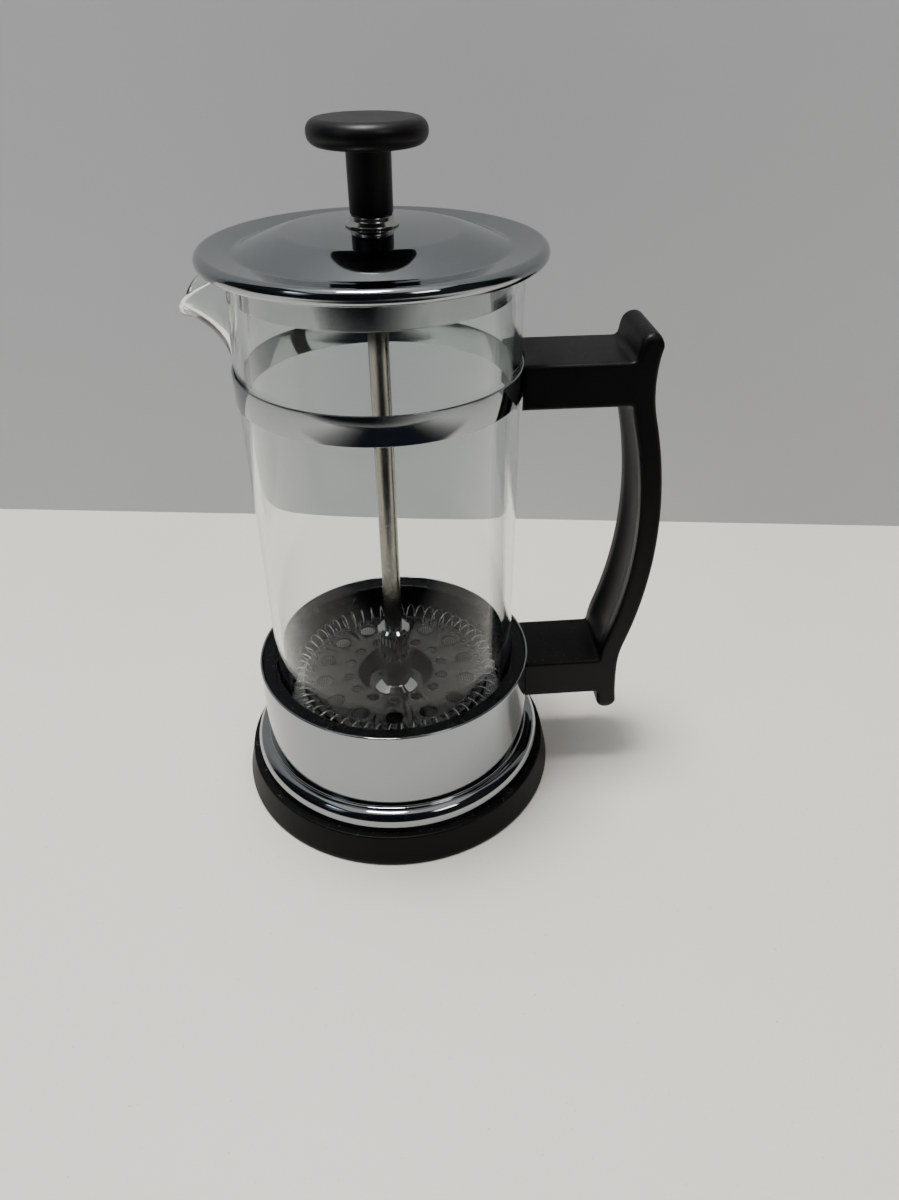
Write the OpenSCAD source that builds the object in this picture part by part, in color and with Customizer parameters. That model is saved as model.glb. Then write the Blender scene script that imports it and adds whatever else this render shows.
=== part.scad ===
// Three-cup coffee press: a glass beaker in a footed metal base with a bow handle, a
// domed lid and a plunger that carries a wire-rimmed filter. Base centre at the origin,
// handle towards +X, spout towards -X.

/* [Beaker] */
// Outer radius of the glass
glass_r = 35; // [30:0.5:45]
// Thickness of the glass wall
glass_wall = 2; // [1.6:0.1:2.6]
// Height of the beaker from its underside to its rim
glass_h = 134.8; // [110:0.2:190]
// Thickness of the beaker's floor
glass_floor = 2.2; // [1.8:0.1:3]
// Radius of the beaker's rounded bottom corner
glass_corner = 6; // [4:0.5:8]
// Distance that the spout's tip stands out past the wall
spout_reach = 11; // [8:0.2:13]
// Half the width of the spout where it leaves the wall
spout_half_w = 12; // [10:0.5:14]
// Half the width of the spout at its tip
spout_tip_half_w = 3; // [2:0.2:4]
// Distance from the rim down to the spout's tip
spout_drop = 9.2; // [7:0.2:12]
// Depth of the spout's tip from its lip to its keel
spout_tip_h = 2.4; // [2.2:0.1:4]
// Distance from the rim down to where the spout's keel leaves the wall
spout_root = 19; // [16:0.5:22]

/* [Base] */
// Height of the metal shell's upper edge above the table
base_h = 42.3; // [38:0.2:60]
// Height of the beaker's underside above the table
glass_z = 21.6; // [18:0.2:26]
// Radial room between the glass and the outside of the shell
base_gap = 5.3; // [4.5:0.1:8]
// Thickness of the shell's sheet metal
shell_t = 0.7; // [0.5:0.1:1]
// Height above the table at which the shell's rounded step turns upright
bead_z = 12.5; // [11:0.1:14]
// Radius of that rounded step
bead_r = 3.3; // [2:0.1:3.4]
// Distance that the step stands out past the shell's wall
bead_out = 3.9; // [3.8:0.1:5]
// Height of the upright flange below the step
flange_h = 2.9; // [2:0.1:4]
// Distance that the foot stands out past the shell's wall
foot_out = 7.7; // [6.5:0.1:10]
// Width of the foot's ledge outside the flange
foot_ledge = 2; // [1:0.1:3]
// Thickness of the foot's floor
foot_floor = 2.2; // [1.6:0.2:3]
// Thickness of the shelf that carries the beaker
shelf_t = 2.5; // [2:0.1:4]
// Radius of the hole in the shelf's middle
shelf_hole_r = 14; // [8:1:18]

/* [Handle] */
// Height of the strap's middle above the table
band_z = 128.1; // [100:0.1:132]
// Height of the strap round the glass
band_h = 7.2; // [5.6:0.2:9]
// Thickness of the strap's sheet metal
band_t = 0.6; // [0.4:0.1:0.8]
// Width of the handle across the hand
handle_w = 22; // [18:0.5:26]
// Height of the upper arm
upper_arm_h = 11.4; // [10.5:0.1:14]
// Height of the lower arm
lower_arm_h = 12.5; // [11:0.1:16]
// Distance from the shell's upper edge down to the lower arm's top
lower_arm_drop = 1.3; // [0.5:0.1:4]
// Distance from the glass to the outermost point of the grip
grip_reach = 38.3; // [34:0.1:48]
// Thickness of the grip
grip_t = 5.7; // [5:0.1:7]
// Radius of the bow's outer side
bow_r = 125; // [110:1:150]
// Radius of the hollow curve at the back of the horn
horn_r = 40; // [34:1:50]
// Distance that the horn rises above the upper arm
horn_h = 6.6; // [4:0.2:10]
// Distance that the tail hangs below the lower arm
tail_h = 7.2; // [4:0.2:10]
// Depth of the channel along the inside of the grip
channel_depth = 2.2; // [1.4:0.1:2.6]
// Width of that channel
channel_w = 15; // [12:0.5:17]

/* [Lid] */
// Distance that the lid's rolled rim stands out past the glass
lid_out = 5.4; // [4.4:0.1:8]
// Thickness of the lid's sheet metal
lid_t = 0.7; // [0.5:0.1:0.9]
// Rise of the lid's dome above its rim
dome_h = 2.7; // [2.4:0.1:5]
// Depth of the shallow groove between the dome and the rim
groove_h = 0.7; // [0.4:0.1:0.8]
// Radius of the rolled rim's section
rim_roll = 1.8; // [1.7:0.1:2.4]
// Distance that the rolled rim hangs below the glass's upper edge
rim_hang = 0.8; // [0.7:0.1:1]
// Depth that the skirt reaches into the glass
skirt_h = 7.9; // [6:0.1:12]
// Radial room between the skirt and the glass
skirt_gap = 0.7; // [0.4:0.1:1.2]
// Outer radius of the bead-shaped bushing on the lid
bushing_r = 6.1; // [5.2:0.1:7]
// Height of that bushing above the lid
bushing_h = 3; // [2.4:0.1:4]
// Outer radius of the bushing's threaded tube
bushing_tube_r = 4.1; // [3.7:0.1:4.6]

/* [Plunger] */
// Radius of the plunger rod
rod_r = 2.6; // [2:0.1:3]
// Radius of the knob
knob_r = 13.2; // [11:0.2:18]
// Height of the knob's head
knob_h = 5.4; // [4.8:0.2:9]
// Radius of the knob's stem
stem_r = 5; // [4.6:0.1:6]
// Length of the knob's stem
stem_h = 13.6; // [11:0.1:20]
// Radius of the brass insert in the stem
insert_r = 3.7; // [3.4:0.1:3.9]
// Length of the brass insert
insert_h = 8; // [6:0.5:9]
// Outer radius of the hub sleeve on the rod
hub_r = 4.8; // [4.4:0.1:5.4]
// Height of the hub sleeve
hub_h = 22.5; // [18:0.5:28]
// Radius of the flare at the hub's foot
hub_flare_r = 7; // [6:0.2:7.8]

/* [Filter] */
// Thickness of the spiral plate
plate_t = 0.7; // [0.5:0.1:0.9]
// Depth of the dish in the plate's middle
dish_h = 5.8; // [3.6:0.1:7]
// Radius of the flat at the bottom of the dish
dish_r = 8.6; // [8:0.1:9.4]
// Radius of the coil's own section, to the middle of its wire
coil_r = 3.2; // [2.6:0.1:3.4]
// Diameter of the coil's wire
wire_d = 0.6; // [0.4:0.1:0.7]
// Turns in the coil
coil_turns = 56; // [44:2:60]
// Room between the coil and the glass
coil_gap = 0.25; // [0.2:0.05:0.5]
// Radius of the plate's large holes
big_hole_r = 2.5; // [1.8:0.1:2.8]
// Radius of the plate's small holes
small_hole_r = 1.6; // [1:0.1:1.8]
// Holes in each of those two rings
plate_holes = 14; // [10:1:15]
// Thickness of the woven mesh
mesh_t = 0.4; // [0.3:0.1:0.6]
// Thickness of the cross plate
cross_t = 0.8; // [0.6:0.1:1.2]
// Radius of the cross plate's windows
window_r = 5.2; // [4:0.2:5.6]
// Windows in the cross plate
windows = 8; // [6:1:8]
// Height of the nut under the filter
filter_nut_h = 2.2; // [1.8:0.1:3]

/* [Fits] */
// Gap between loose parts that rest on each other
rest_gap = 0.3; // [0.2:0.05:0.5]
// Radial clearance of the rod in the lid and of fixed parts in their holes
fit = 0.06; // [0.03:0.01:0.1]
// Radial clearance of the glass in the strap
strap_fit = 0.1; // [0.08:0.01:0.15]
// Radius of the screws' shanks
screw_r = 1.5; // [1.2:0.1:1.8]
// Radius of the screws' heads
screw_head_r = 2.9; // [2.5:0.1:3.2]
// Height of the screws' heads
screw_head_h = 1.8; // [1.4:0.1:2.2]

/* [Hidden] */
$fn = 96;

function unit(v) = v / norm(v);
function arc(cx, cy, r, from, to, steps = 12) =
    [for (i = [0 : steps]) let (a = from + (to - from) * i / steps) [cx + r * cos(a), cy + r * sin(a)]];

// Beaker
glass_in_r = glass_r - glass_wall;
glass_top = glass_z + glass_h;
glass_floor_z = glass_z + glass_floor;

// Base
shell_r = glass_r + base_gap;
foot_r = shell_r + foot_out;
bead_cx = shell_r + bead_out - bead_r;
cove_r = bead_out - bead_r;
foot_top = bead_z - flange_h;
foot_round = 0.6;
ledge_r = shell_r + bead_out + foot_ledge - foot_round;
foot_floor_z = 1.2;
liner_r = shell_r - shell_t - fit;
liner_top = base_h - 0.4;
liner_lip_w = 2.6;
liner_lip_h = 2.2;
liner_in_r = glass_r + rest_gap;
shelf_z = glass_z - rest_gap;
boss_r = screw_r + 2.2;
boss_ring_r = glass_r - boss_r - 3;
boss_z = foot_floor_z + foot_floor;
foot_head_z = foot_floor_z - 0.4;
foot_screw_l = 12;

// Handle
strap_in_r = glass_r + strap_fit;
strap_r = strap_in_r + band_t;
upper_arm_top = band_z + band_h / 2 + 0.7;
upper_arm_z = upper_arm_top - upper_arm_h;
lower_arm_top = base_h - lower_arm_drop;
lower_arm_z = lower_arm_top - lower_arm_h;
grip_x = glass_r + grip_reach;
bow_cx = grip_x - bow_r;
bow_cz = (upper_arm_top + lower_arm_top) / 2 - 3.3;
edge_r = 1.8;
lap_a = 0.5;
lap_inset = 0.04;
arm_edge_r = 1.6;
bow_top_a = asin((upper_arm_z - 4 - bow_cz) / bow_r);
bow_low_a = asin((lower_arm_top + 6 - bow_cz) / bow_r);
horn_cx = bow_cx + (bow_r + horn_r) * cos(bow_top_a);
horn_cz = bow_cz + (bow_r + horn_r) * sin(bow_top_a);
horn_tip_z = upper_arm_top + horn_h - grip_t / 2;
horn_end_a = asin((horn_tip_z - horn_cz) / (horn_r + grip_t / 2));
heel_r = 30;
heel_cx = bow_cx + (bow_r + heel_r) * cos(bow_low_a);
heel_cz = bow_cz + (bow_r + heel_r) * sin(bow_low_a);
tail_r = 110;
tail_cx = heel_cx - heel_r + tail_r;
tail_tip_z = lower_arm_z - tail_h + grip_t / 2;
tail_end_a = asin((heel_cz - tail_tip_z) / (tail_r + grip_t / 2));
tab_t = band_t;
tab_h = 4.6;
tab_z = band_z - band_h / 2 + 0.6 + tab_h / 2;
tab_l = 14;
tab_gap = 0.1;
tab_screw_x = strap_r + 8.5;
bracket_t = 2;
bracket_plate_t = 1;
bracket_half_w = 6.5;
bracket_h = 8;
bracket_z = lower_arm_z + lower_arm_h / 2;
bracket_l = 13;
bracket_screw_x = shell_r + 8.5;
slot_gap = 0.2;
screw_l = handle_w - 5;

// Lid
lid_z = glass_top + rest_gap;
lid_r = glass_r + lid_out;
skirt_r = glass_in_r - skirt_gap;
rim_z = glass_top - rim_hang + rim_roll;
rim_cx = lid_r - rim_roll;
dome_top = rim_z + rim_roll + dome_h;
groove_r = 32;
groove_cz = rim_z + rim_roll - groove_h + groove_r;
groove_reach = sqrt((groove_r + rim_roll) * (groove_r + rim_roll) - (groove_cz - rim_z) * (groove_cz - rim_z));
groove_cx = rim_cx - groove_reach;
groove_over = groove_cz - dome_top;
dome_r = (groove_cx * groove_cx + groove_over * groove_over - groove_r * groove_r) / (2 * (groove_r - groove_over));
dome_cz = dome_top - dome_r;
dome_a = asin(groove_cx / (dome_r + groove_r));
roll_a = asin(groove_reach / (groove_r + rim_roll));
lid_cup_r = 8;
lid_cup_slope = 4;
lid_cup_z = dome_cz + sqrt(dome_r * dome_r - lid_cup_r * lid_cup_r) - 2 * lid_t - 0.05;
bushing_nut_h = 3;
bushing_low_z = lid_cup_z - bushing_nut_h - 0.8;
lid_nut_r = bushing_tube_r + 2.2;

// Filter, stacked up from the beaker's floor
nut_z = glass_floor_z + 2 * rest_gap;
cross_z = nut_z + filter_nut_h;
mesh_z = cross_z + cross_t;
dish_z = mesh_z + mesh_t;
plate_z = dish_z + dish_h;
coil_z = plate_z + plate_t / 2;
coil_ring_r = glass_in_r - coil_gap - wire_d / 2 - coil_r;
plate_r = coil_ring_r - 1;
wire_ring_r = coil_ring_r - coil_r;
wire_hole_r = wire_d / 2 + 0.45;
big_ring_r = wire_ring_r - wire_hole_r - big_hole_r - 0.8;
small_ring_r = big_ring_r - big_hole_r - small_hole_r - 3.5;
dish_top_r = small_ring_r - small_hole_r - 0.8;
mesh_flat_r = glass_in_r - coil_r - 1.2;
mesh_r = glass_in_r - 0.6;
cross_r = coil_ring_r - 2;
window_ring_r = cross_r - window_r - 2.6;
hub_z = dish_z + plate_t;
hub_top = hub_z + hub_h;
coil_steps = 8;
wire_sides = 4;

// Plunger
stem_z = dome_top + bushing_h + rest_gap;
knob_z = stem_z + stem_h;
knob_top = knob_z + knob_h;
insert_z = stem_z + 2;
rod_top = insert_z + insert_h;
rod_low = nut_z + 0.2;

// A rectangle with round corners, made of plain squares and circles
module round_rect(w, h, r) {
    square([w - 2 * r, h], center = true);
    square([w, h - 2 * r], center = true);
    for (x = [-1, 1], y = [-1, 1])
        translate([x * (w / 2 - r), y * (h / 2 - r)]) circle(r);
}

// A bar along +X with a round-cornered section
module arm(from_x, to_x, z, h) {
    translate([from_x, 0, z + h / 2])
        rotate([90, 0, 90])
            linear_extrude(to_x - from_x) round_rect(handle_w, h, arm_edge_r);
}

// A stretch of the grip, bent about an axis along Y, its section shrunk by inset
module bend(cx, cz, r, from, to, inset = 0) {
    translate([cx, 0, cz])
        rotate([90, 0, 0])
            rotate([0, 0, from])
                rotate_extrude(angle = to - from, $fn = 180)
                    translate([r, 0]) round_rect(grip_t - 2 * inset, handle_w - 2 * inset, edge_r);
}

// The round end of the horn or the tail
module grip_end(x, z) {
    translate([x, 0, z])
        rotate([90, 0, 0])
            cylinder(h = handle_w - 2 * edge_r, r = grip_t / 2, center = true);
    for (s = [-1, 1])
        translate([x, s * (handle_w / 2 - edge_r / 2 - 0.02), z])
            rotate([s * -90, 0, 0])
                cylinder(h = edge_r, r1 = grip_t / 2, r2 = grip_t / 2 - 0.9, center = true);
}

// A pan-head screw along -Z with the top of its head at the origin
module screw(length) {
    rotate_extrude()
        polygon(concat(
            [[0, -screw_head_h], [0, 0]],
            arc(screw_head_r - 0.8, -0.8, 0.8, 90, 0, 6),
            [[screw_head_r, -screw_head_h]]
        ));
    translate([0, 0, -length]) cylinder(h = length - screw_head_h, r = screw_r);
    translate([0, 0, -length - screw_r]) cylinder(h = screw_r, r1 = 0.2, r2 = screw_r);
}

// The cross recess in a screw's head
module cross_recess() {
    for (a = [0, 90])
        rotate([0, 0, a]) cube([screw_head_r * 1.1, 0.7, 1.6], center = true);
}

module screw_ready(length) {
    difference() {
        screw(length);
        cross_recess();
    }
}

// The places of the three foot screws
module at_foot_screws() {
    for (a = [60 : 120 : 300])
        rotate([0, 0, a]) translate([boss_ring_r, 0, 0]) children();
}

module foot_ring() {
    color("#1b1b1d")
        difference() {
            rotate_extrude($fn = 180)
                polygon(concat(
                    [[0, foot_floor_z], [shell_r - 6.5, foot_floor_z], [shell_r - 5.5, 0]],
                    arc(foot_r - 0.9, 0.9, 0.9, -90, 0, 5),
                    arc(ledge_r, foot_top - foot_round, foot_round, 0, 90, 6),
                    [
                        [shell_r - shell_t - 1.6, foot_top],
                        [shell_r - shell_t - 1.6, foot_floor_z + foot_floor],
                        [0, foot_floor_z + foot_floor]
                    ]
                ));
            at_foot_screws() translate([0, 0, -1]) cylinder(h = 9, r = screw_r + fit);
            at_foot_screws() translate([0, 0, -1]) cylinder(h = 1 + foot_head_z + screw_head_h, r = screw_head_r + 0.3);
        }
}

// Straight wall, a rounded step and an upright flange that rests on the foot
module base_shell() {
    color("#d4d6d8")
        rotate_extrude($fn = 180)
            polygon(concat(
                [[shell_r - shell_t, bead_z + bead_r - shell_t], [shell_r - shell_t, base_h - shell_t / 2]],
                arc(shell_r - shell_t / 2, base_h - shell_t / 2, shell_t / 2, 180, 0, 8),
                arc(bead_cx, bead_z + bead_r + cove_r, cove_r, 180, 270, 6),
                arc(bead_cx, bead_z, bead_r, 80, 0, 12),
                [[shell_r + bead_out, foot_top], [shell_r + bead_out - shell_t, foot_top]],
                arc(bead_cx, bead_z, bead_r - shell_t, 0, 90, 12)
            ));
}

// Cup that centres the glass, with a sloping lip and three screw bosses below
module base_liner() {
    color("#151516")
        difference() {
            union() {
                rotate_extrude($fn = 180)
                    polygon([
                        [shelf_hole_r, shelf_z - shelf_t],
                        [liner_r, shelf_z - shelf_t],
                        [liner_r, liner_top - 0.5],
                        [liner_r - 0.5, liner_top],
                        [liner_r - 0.9, liner_top],
                        [liner_r - liner_lip_w, liner_top - liner_lip_h],
                        [liner_in_r + 0.4, liner_top - liner_lip_h - 0.6],
                        [liner_in_r, liner_top - liner_lip_h - 1.2],
                        [liner_in_r, shelf_z],
                        [shelf_hole_r, shelf_z]
                    ]);
                at_foot_screws()
                    translate([0, 0, boss_z]) cylinder(h = shelf_z - shelf_t - boss_z + 0.5, r = boss_r);
            }
            at_foot_screws() translate([0, 0, boss_z - 1]) cylinder(h = foot_screw_l, r = screw_r + fit);
        }
}

module foot_screws() {
    color("#8d9096")
        at_foot_screws()
            translate([0, 0, foot_head_z])
                rotate([180, 0, 0])
                    screw_ready(foot_screw_l - 2);
}

module handle() {
    color("#1a1a1c")
        difference() {
            union() {
                arm(strap_in_r * 0.85, horn_cx - horn_r - grip_t / 2, upper_arm_z, upper_arm_h);
                arm(shell_r * 0.9, heel_cx - heel_r - grip_t / 2, lower_arm_z, lower_arm_h);
                bend(bow_cx, bow_cz, bow_r - grip_t / 2, bow_low_a, bow_top_a);
                bend(horn_cx, horn_cz, horn_r + grip_t / 2, 180 - horn_end_a, 180 + bow_top_a + lap_a, lap_inset);
                bend(heel_cx, heel_cz, heel_r + grip_t / 2, 180 + bow_low_a - lap_a, 180 + lap_a, lap_inset);
                bend(tail_cx, heel_cz, tail_r + grip_t / 2, 180, 180 + tail_end_a);
                grip_end(horn_cx - (horn_r + grip_t / 2) * cos(horn_end_a), horn_tip_z);
                grip_end(tail_cx - (tail_r + grip_t / 2) * cos(tail_end_a), tail_tip_z);
            }
            translate([0, 0, upper_arm_z - 1]) cylinder(h = upper_arm_h + 2, r = strap_r + fit, $fn = 180);
            translate([0, 0, lower_arm_z - 1]) cylinder(h = lower_arm_h + 2, r = shell_r + fit, $fn = 180);
            finger_channel();
            strap_slot();
            bracket_slot();
            translate([tab_screw_x, 0, tab_z]) screw_hole();
            translate([bracket_screw_x, 0, bracket_z]) screw_hole();
        }
}

// Shallow round-bottomed channel along the inside of the bow
module finger_channel() {
    cut_r = (channel_w * channel_w / 4 + channel_depth * channel_depth) / (2 * channel_depth);
    inner_r = bow_r - grip_t;
    top_a = asin((upper_arm_z - 3 - bow_cz) / inner_r);
    low_a = asin((lower_arm_top + 3 - bow_cz) / inner_r);
    translate([bow_cx, 0, bow_cz])
        rotate([90, 0, 0])
            rotate([0, 0, low_a])
                rotate_extrude(angle = top_a - low_a, $fn = 180)
                    translate([inner_r + channel_depth - cut_r, 0]) circle(cut_r);
}

// Room for the strap's two tabs
module strap_slot() {
    half = tab_gap + tab_t + slot_gap;
    translate([strap_in_r - 1, -half, tab_z - tab_h / 2 - slot_gap])
        cube([tab_l + 2, 2 * half, tab_h + 2 * slot_gap]);
}

// Room for the bracket's foot and tab
module bracket_slot() {
    foot_h = bracket_h + 2 * slot_gap;
    intersection() {
        translate([0, 0, bracket_z - foot_h / 2]) cylinder(h = foot_h, r = shell_r + bracket_plate_t + slot_gap);
        translate([shell_r / 2, -bracket_half_w - slot_gap, bracket_z - foot_h / 2])
            cube([shell_r, 2 * (bracket_half_w + slot_gap), foot_h]);
    }
    half = bracket_t / 2 + slot_gap;
    translate([shell_r - 1, -half, bracket_z - bracket_h / 2 - slot_gap + 0.5])
        cube([bracket_l + 1.5, 2 * half, bracket_h + 2 * slot_gap - 1]);
}

// Blind hole along Y with a sunk seat for the head on the +Y side
module screw_hole() {
    seat = handle_w / 2 - screw_head_h - 0.8;
    rotate([-90, 0, 0]) {
        translate([0, 0, seat - screw_l - 0.5]) cylinder(h = screw_l + 1, r = screw_r + fit);
        translate([0, 0, seat]) cylinder(h = screw_head_h + 2, r = screw_head_r + 0.3);
    }
}

// A screw lying along Y in one of those holes
module handle_screw() {
    translate([0, handle_w / 2 - 0.8, 0])
        rotate([-90, 0, 0])
            screw_ready(screw_l);
}

// Strap round the glass with both ends turned out into the upper arm
module strap() {
    color("#cfd2d5")
        difference() {
            union() {
                translate([0, 0, band_z - band_h / 2]) cylinder(h = band_h, r = strap_r, $fn = 180);
                translate([strap_in_r, -tab_gap - tab_t, tab_z - tab_h / 2])
                    cube([tab_l, 2 * (tab_gap + tab_t), tab_h]);
            }
            translate([0, 0, band_z - band_h / 2 - 1]) cylinder(h = band_h + 2, r = strap_in_r, $fn = 180);
            translate([glass_r / 2, -tab_gap, band_z - band_h]) cube([glass_r, 2 * tab_gap, 2 * band_h]);
            translate([tab_screw_x, 0, tab_z])
                rotate([90, 0, 0]) cylinder(h = 4, r = screw_r + fit, center = true);
        }
}

module strap_screw() {
    color("#8d9096") translate([tab_screw_x, 0, tab_z]) handle_screw();
}

// Foot plate on the shell's wall with a tab that enters the lower arm
module base_bracket() {
    color("#9a9da2")
        difference() {
            union() {
                intersection() {
                    translate([0, 0, bracket_z - bracket_h / 2])
                        cylinder(h = bracket_h, r = shell_r + bracket_plate_t);
                    translate([shell_r / 2, -bracket_half_w, bracket_z - bracket_h / 2])
                        cube([shell_r, 2 * bracket_half_w, bracket_h]);
                }
                translate([shell_r - 0.2, -bracket_t / 2, bracket_z - bracket_h / 2 + 0.5])
                    cube([bracket_l, bracket_t, bracket_h - 1]);
            }
            translate([0, 0, bracket_z - bracket_h]) cylinder(h = 2 * bracket_h, r = shell_r, $fn = 180);
            translate([bracket_screw_x, 0, bracket_z])
                rotate([90, 0, 0]) cylinder(h = 2 * bracket_t, r = screw_r + fit, center = true);
        }
}

module bracket_screw() {
    color("#8d9096") translate([bracket_screw_x, 0, bracket_z]) handle_screw();
}

// One cross-section of the spout at f degrees along its curve: a round-bottomed U, shrunk
// by inset, with its upper corners carried up by lift and the whole pushed outwards
function spout_section(f, inset, lift, push) =
    let (
        wall_r = glass_r - glass_wall / 2,
        lip = [-wall_r - spout_reach * sin(f), glass_top - 0.3 - spout_drop * f / 90],
        keel_rise = spout_root - spout_drop - spout_tip_h,
        keel = [-wall_r - spout_reach * (1 - cos(f)), glass_top - spout_root + keel_rise * sin(f)],
        up = unit(lip - keel),
        low = keel + inset * up,
        high = lip + lift * up,
        half_w = spout_tip_half_w + (spout_half_w - spout_tip_half_w) * cos(f) - inset
    )
    concat(
        [[high[0] - push, -half_w, high[1]]],
        [for (a = [-90 : 22.5 : 90])
            [lip[0] + (low[0] - lip[0]) * cos(a) - push, half_w * sin(a), lip[1] + (low[1] - lip[1]) * cos(a)]],
        [[high[0] - push, half_w, high[1]]]
    );

// Solid through a row of cross-sections that have the same number of points
module loft(sections) {
    n = len(sections[0]);
    last = len(sections) - 1;
    sides = [
        for (i = [0 : last - 1], k = [0 : n - 1])
            let (a = i * n, b = a + n, next = (k + 1) % n)
            each [[a + k, a + next, b + next], [a + k, b + next, b + k]]
    ];
    near_end = [for (k = [0 : n - 1]) n - 1 - k];
    far_end = [for (k = [0 : n - 1]) last * n + k];
    polyhedron([for (s = sections) each s], concat([near_end], sides, [far_end]));
}

// The spout from inside the wall to its tip
module beak(inset, lift, past_tip) {
    loft(concat(
        [spout_section(0, inset, lift, -6)],
        [for (f = [0 : 15 : 90]) spout_section(f, inset, lift, 0)],
        [spout_section(90, inset, lift, past_tip)]
    ));
}

module glass_beaker() {
    color("#c8dcdc", 0.35)
        difference() {
            union() {
                rotate_extrude($fn = 180)
                    polygon(concat(
                        [[0, glass_z]],
                        arc(glass_r - glass_corner, glass_z + glass_corner, glass_corner, -90, 0, 10),
                        arc(glass_r - glass_wall / 2, glass_top - glass_wall / 2, glass_wall / 2, 0, 180, 8),
                        [[glass_in_r, glass_z + glass_corner]],
                        [[0, glass_z + glass_corner]]
                    ));
                beak(0, 0.05, 0.3);
            }
            rotate_extrude($fn = 180)
                polygon(concat(
                    [[0, glass_floor_z]],
                    arc(glass_in_r - (glass_corner - 2), glass_floor_z + glass_corner - 2, glass_corner - 2, -90, 0, 8),
                    [[glass_in_r, glass_top + 1], [0, glass_top + 1]]
                ));
            beak(glass_wall - 0.1, 8, 5);
        }
}

// Domed sheet that dips into a shallow groove and ends in a rim rolled under all round
module lid_cover() {
    color("#d2d5d8")
        difference() {
            rotate_extrude($fn = 180)
                polygon(concat(
                    arc(0, dome_cz, dome_r, 90, 90 - dome_a, 6),
                    arc(groove_cx, groove_cz, groove_r, -89 - dome_a, -91 + roll_a, 5),
                    arc(rim_cx, rim_z, rim_roll, 90 + roll_a, -90, 12),
                    arc(rim_cx, rim_z, rim_roll - lid_t, -90, 90 + roll_a, 8),
                    arc(groove_cx, groove_cz, groove_r + lid_t, -91 + roll_a, -89 - dome_a, 5),
                    arc(0, dome_cz, dome_r - lid_t, 90 - dome_a, 90, 6)
                ));
            translate([0, 0, lid_z]) cylinder(h = 2 * dome_top, r = bushing_tube_r + fit);
        }
}

// Pan under the cover: flat rim on the glass, skirt inside it, raised cup in the middle
module lid_base() {
    roll_in_r = rim_roll - lid_t;
    pan_r = rim_cx + sqrt(roll_in_r * roll_in_r - (rim_z - lid_z) * (rim_z - lid_z)) - 0.02;
    color("#c4c7ca")
        difference() {
            rotate_extrude($fn = 180)
                polygon([
                    [0, lid_cup_z],
                    [lid_cup_r - lid_t, lid_cup_z],
                    [lid_cup_r + lid_cup_slope - lid_t, lid_z],
                    [skirt_r - lid_t, lid_z],
                    [skirt_r - lid_t, lid_z - skirt_h + 0.2],
                    [skirt_r - lid_t + 0.2, lid_z - skirt_h],
                    [skirt_r - 0.2, lid_z - skirt_h],
                    [skirt_r, lid_z - skirt_h + 0.2],
                    [skirt_r, lid_z],
                    [pan_r, lid_z],
                    [pan_r, lid_z + lid_t - 0.15],
                    [lid_cup_r + lid_cup_slope, lid_z + lid_t],
                    [lid_cup_r, lid_cup_z + lid_t],
                    [0, lid_cup_z + lid_t]
                ]);
            translate([0, 0, lid_z - 1]) cylinder(h = dome_top, r = bushing_tube_r + fit);
        }
}

// Bead-shaped guide for the rod, with a threaded tube through the lid
module lid_bushing() {
    bead = bushing_h / 2;
    color("#d8dadc")
        difference() {
            union() {
                rotate_extrude()
                    polygon(concat(
                        [[0, dome_top]],
                        arc(bushing_r - bead, dome_top + bead, bead, -90, 90, 12),
                        [[0, dome_top + bushing_h]]
                    ));
                translate([0, 0, bushing_low_z]) cylinder(h = dome_top - bushing_low_z + 0.5, r = bushing_tube_r);
            }
            translate([0, 0, bushing_low_z - 1]) cylinder(h = stem_z, r = rod_r + fit);
        }
}

module bushing_nut() {
    color("#a9acb0")
        translate([0, 0, lid_cup_z - bushing_nut_h])
            difference() {
                cylinder(h = bushing_nut_h, r = lid_nut_r, $fn = 6);
                translate([0, 0, -1]) cylinder(h = bushing_nut_h + 2, r = bushing_tube_r + fit);
            }
}

// Flat round head on a slim stem, hollow for the insert and the rod
module knob() {
    side = knob_h / 2;
    color("#18181a")
        difference() {
            rotate_extrude()
                polygon(concat(
                    [[0, stem_z], [stem_r - 0.6, stem_z], [stem_r - 0.1, stem_z + 0.6], [stem_r, knob_z - 1]],
                    arc(stem_r + 1.2, knob_z - 1.2, 1.2, 180, 90, 5),
                    arc(knob_r - side, knob_z + side, side, -90, 90, 16),
                    [[0, knob_top]]
                ));
            translate([0, 0, stem_z - 1]) cylinder(h = insert_z - stem_z + 2, r = rod_r + fit);
            translate([0, 0, insert_z]) cylinder(h = insert_h, r = insert_r);
        }
}

module knob_insert() {
    color("#b08d4c")
        translate([0, 0, insert_z])
            difference() {
                cylinder(h = insert_h, r = insert_r);
                translate([0, 0, -1]) cylinder(h = insert_h, r = rod_r + fit);
            }
}

module plunger_rod() {
    color("#b9bcc0")
        translate([0, 0, rod_low]) {
            cylinder(h = 0.5, r1 = rod_r - 0.5, r2 = rod_r);
            translate([0, 0, 0.5]) cylinder(h = rod_top - rod_low - 2, r = rod_r);
        }
}

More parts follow.
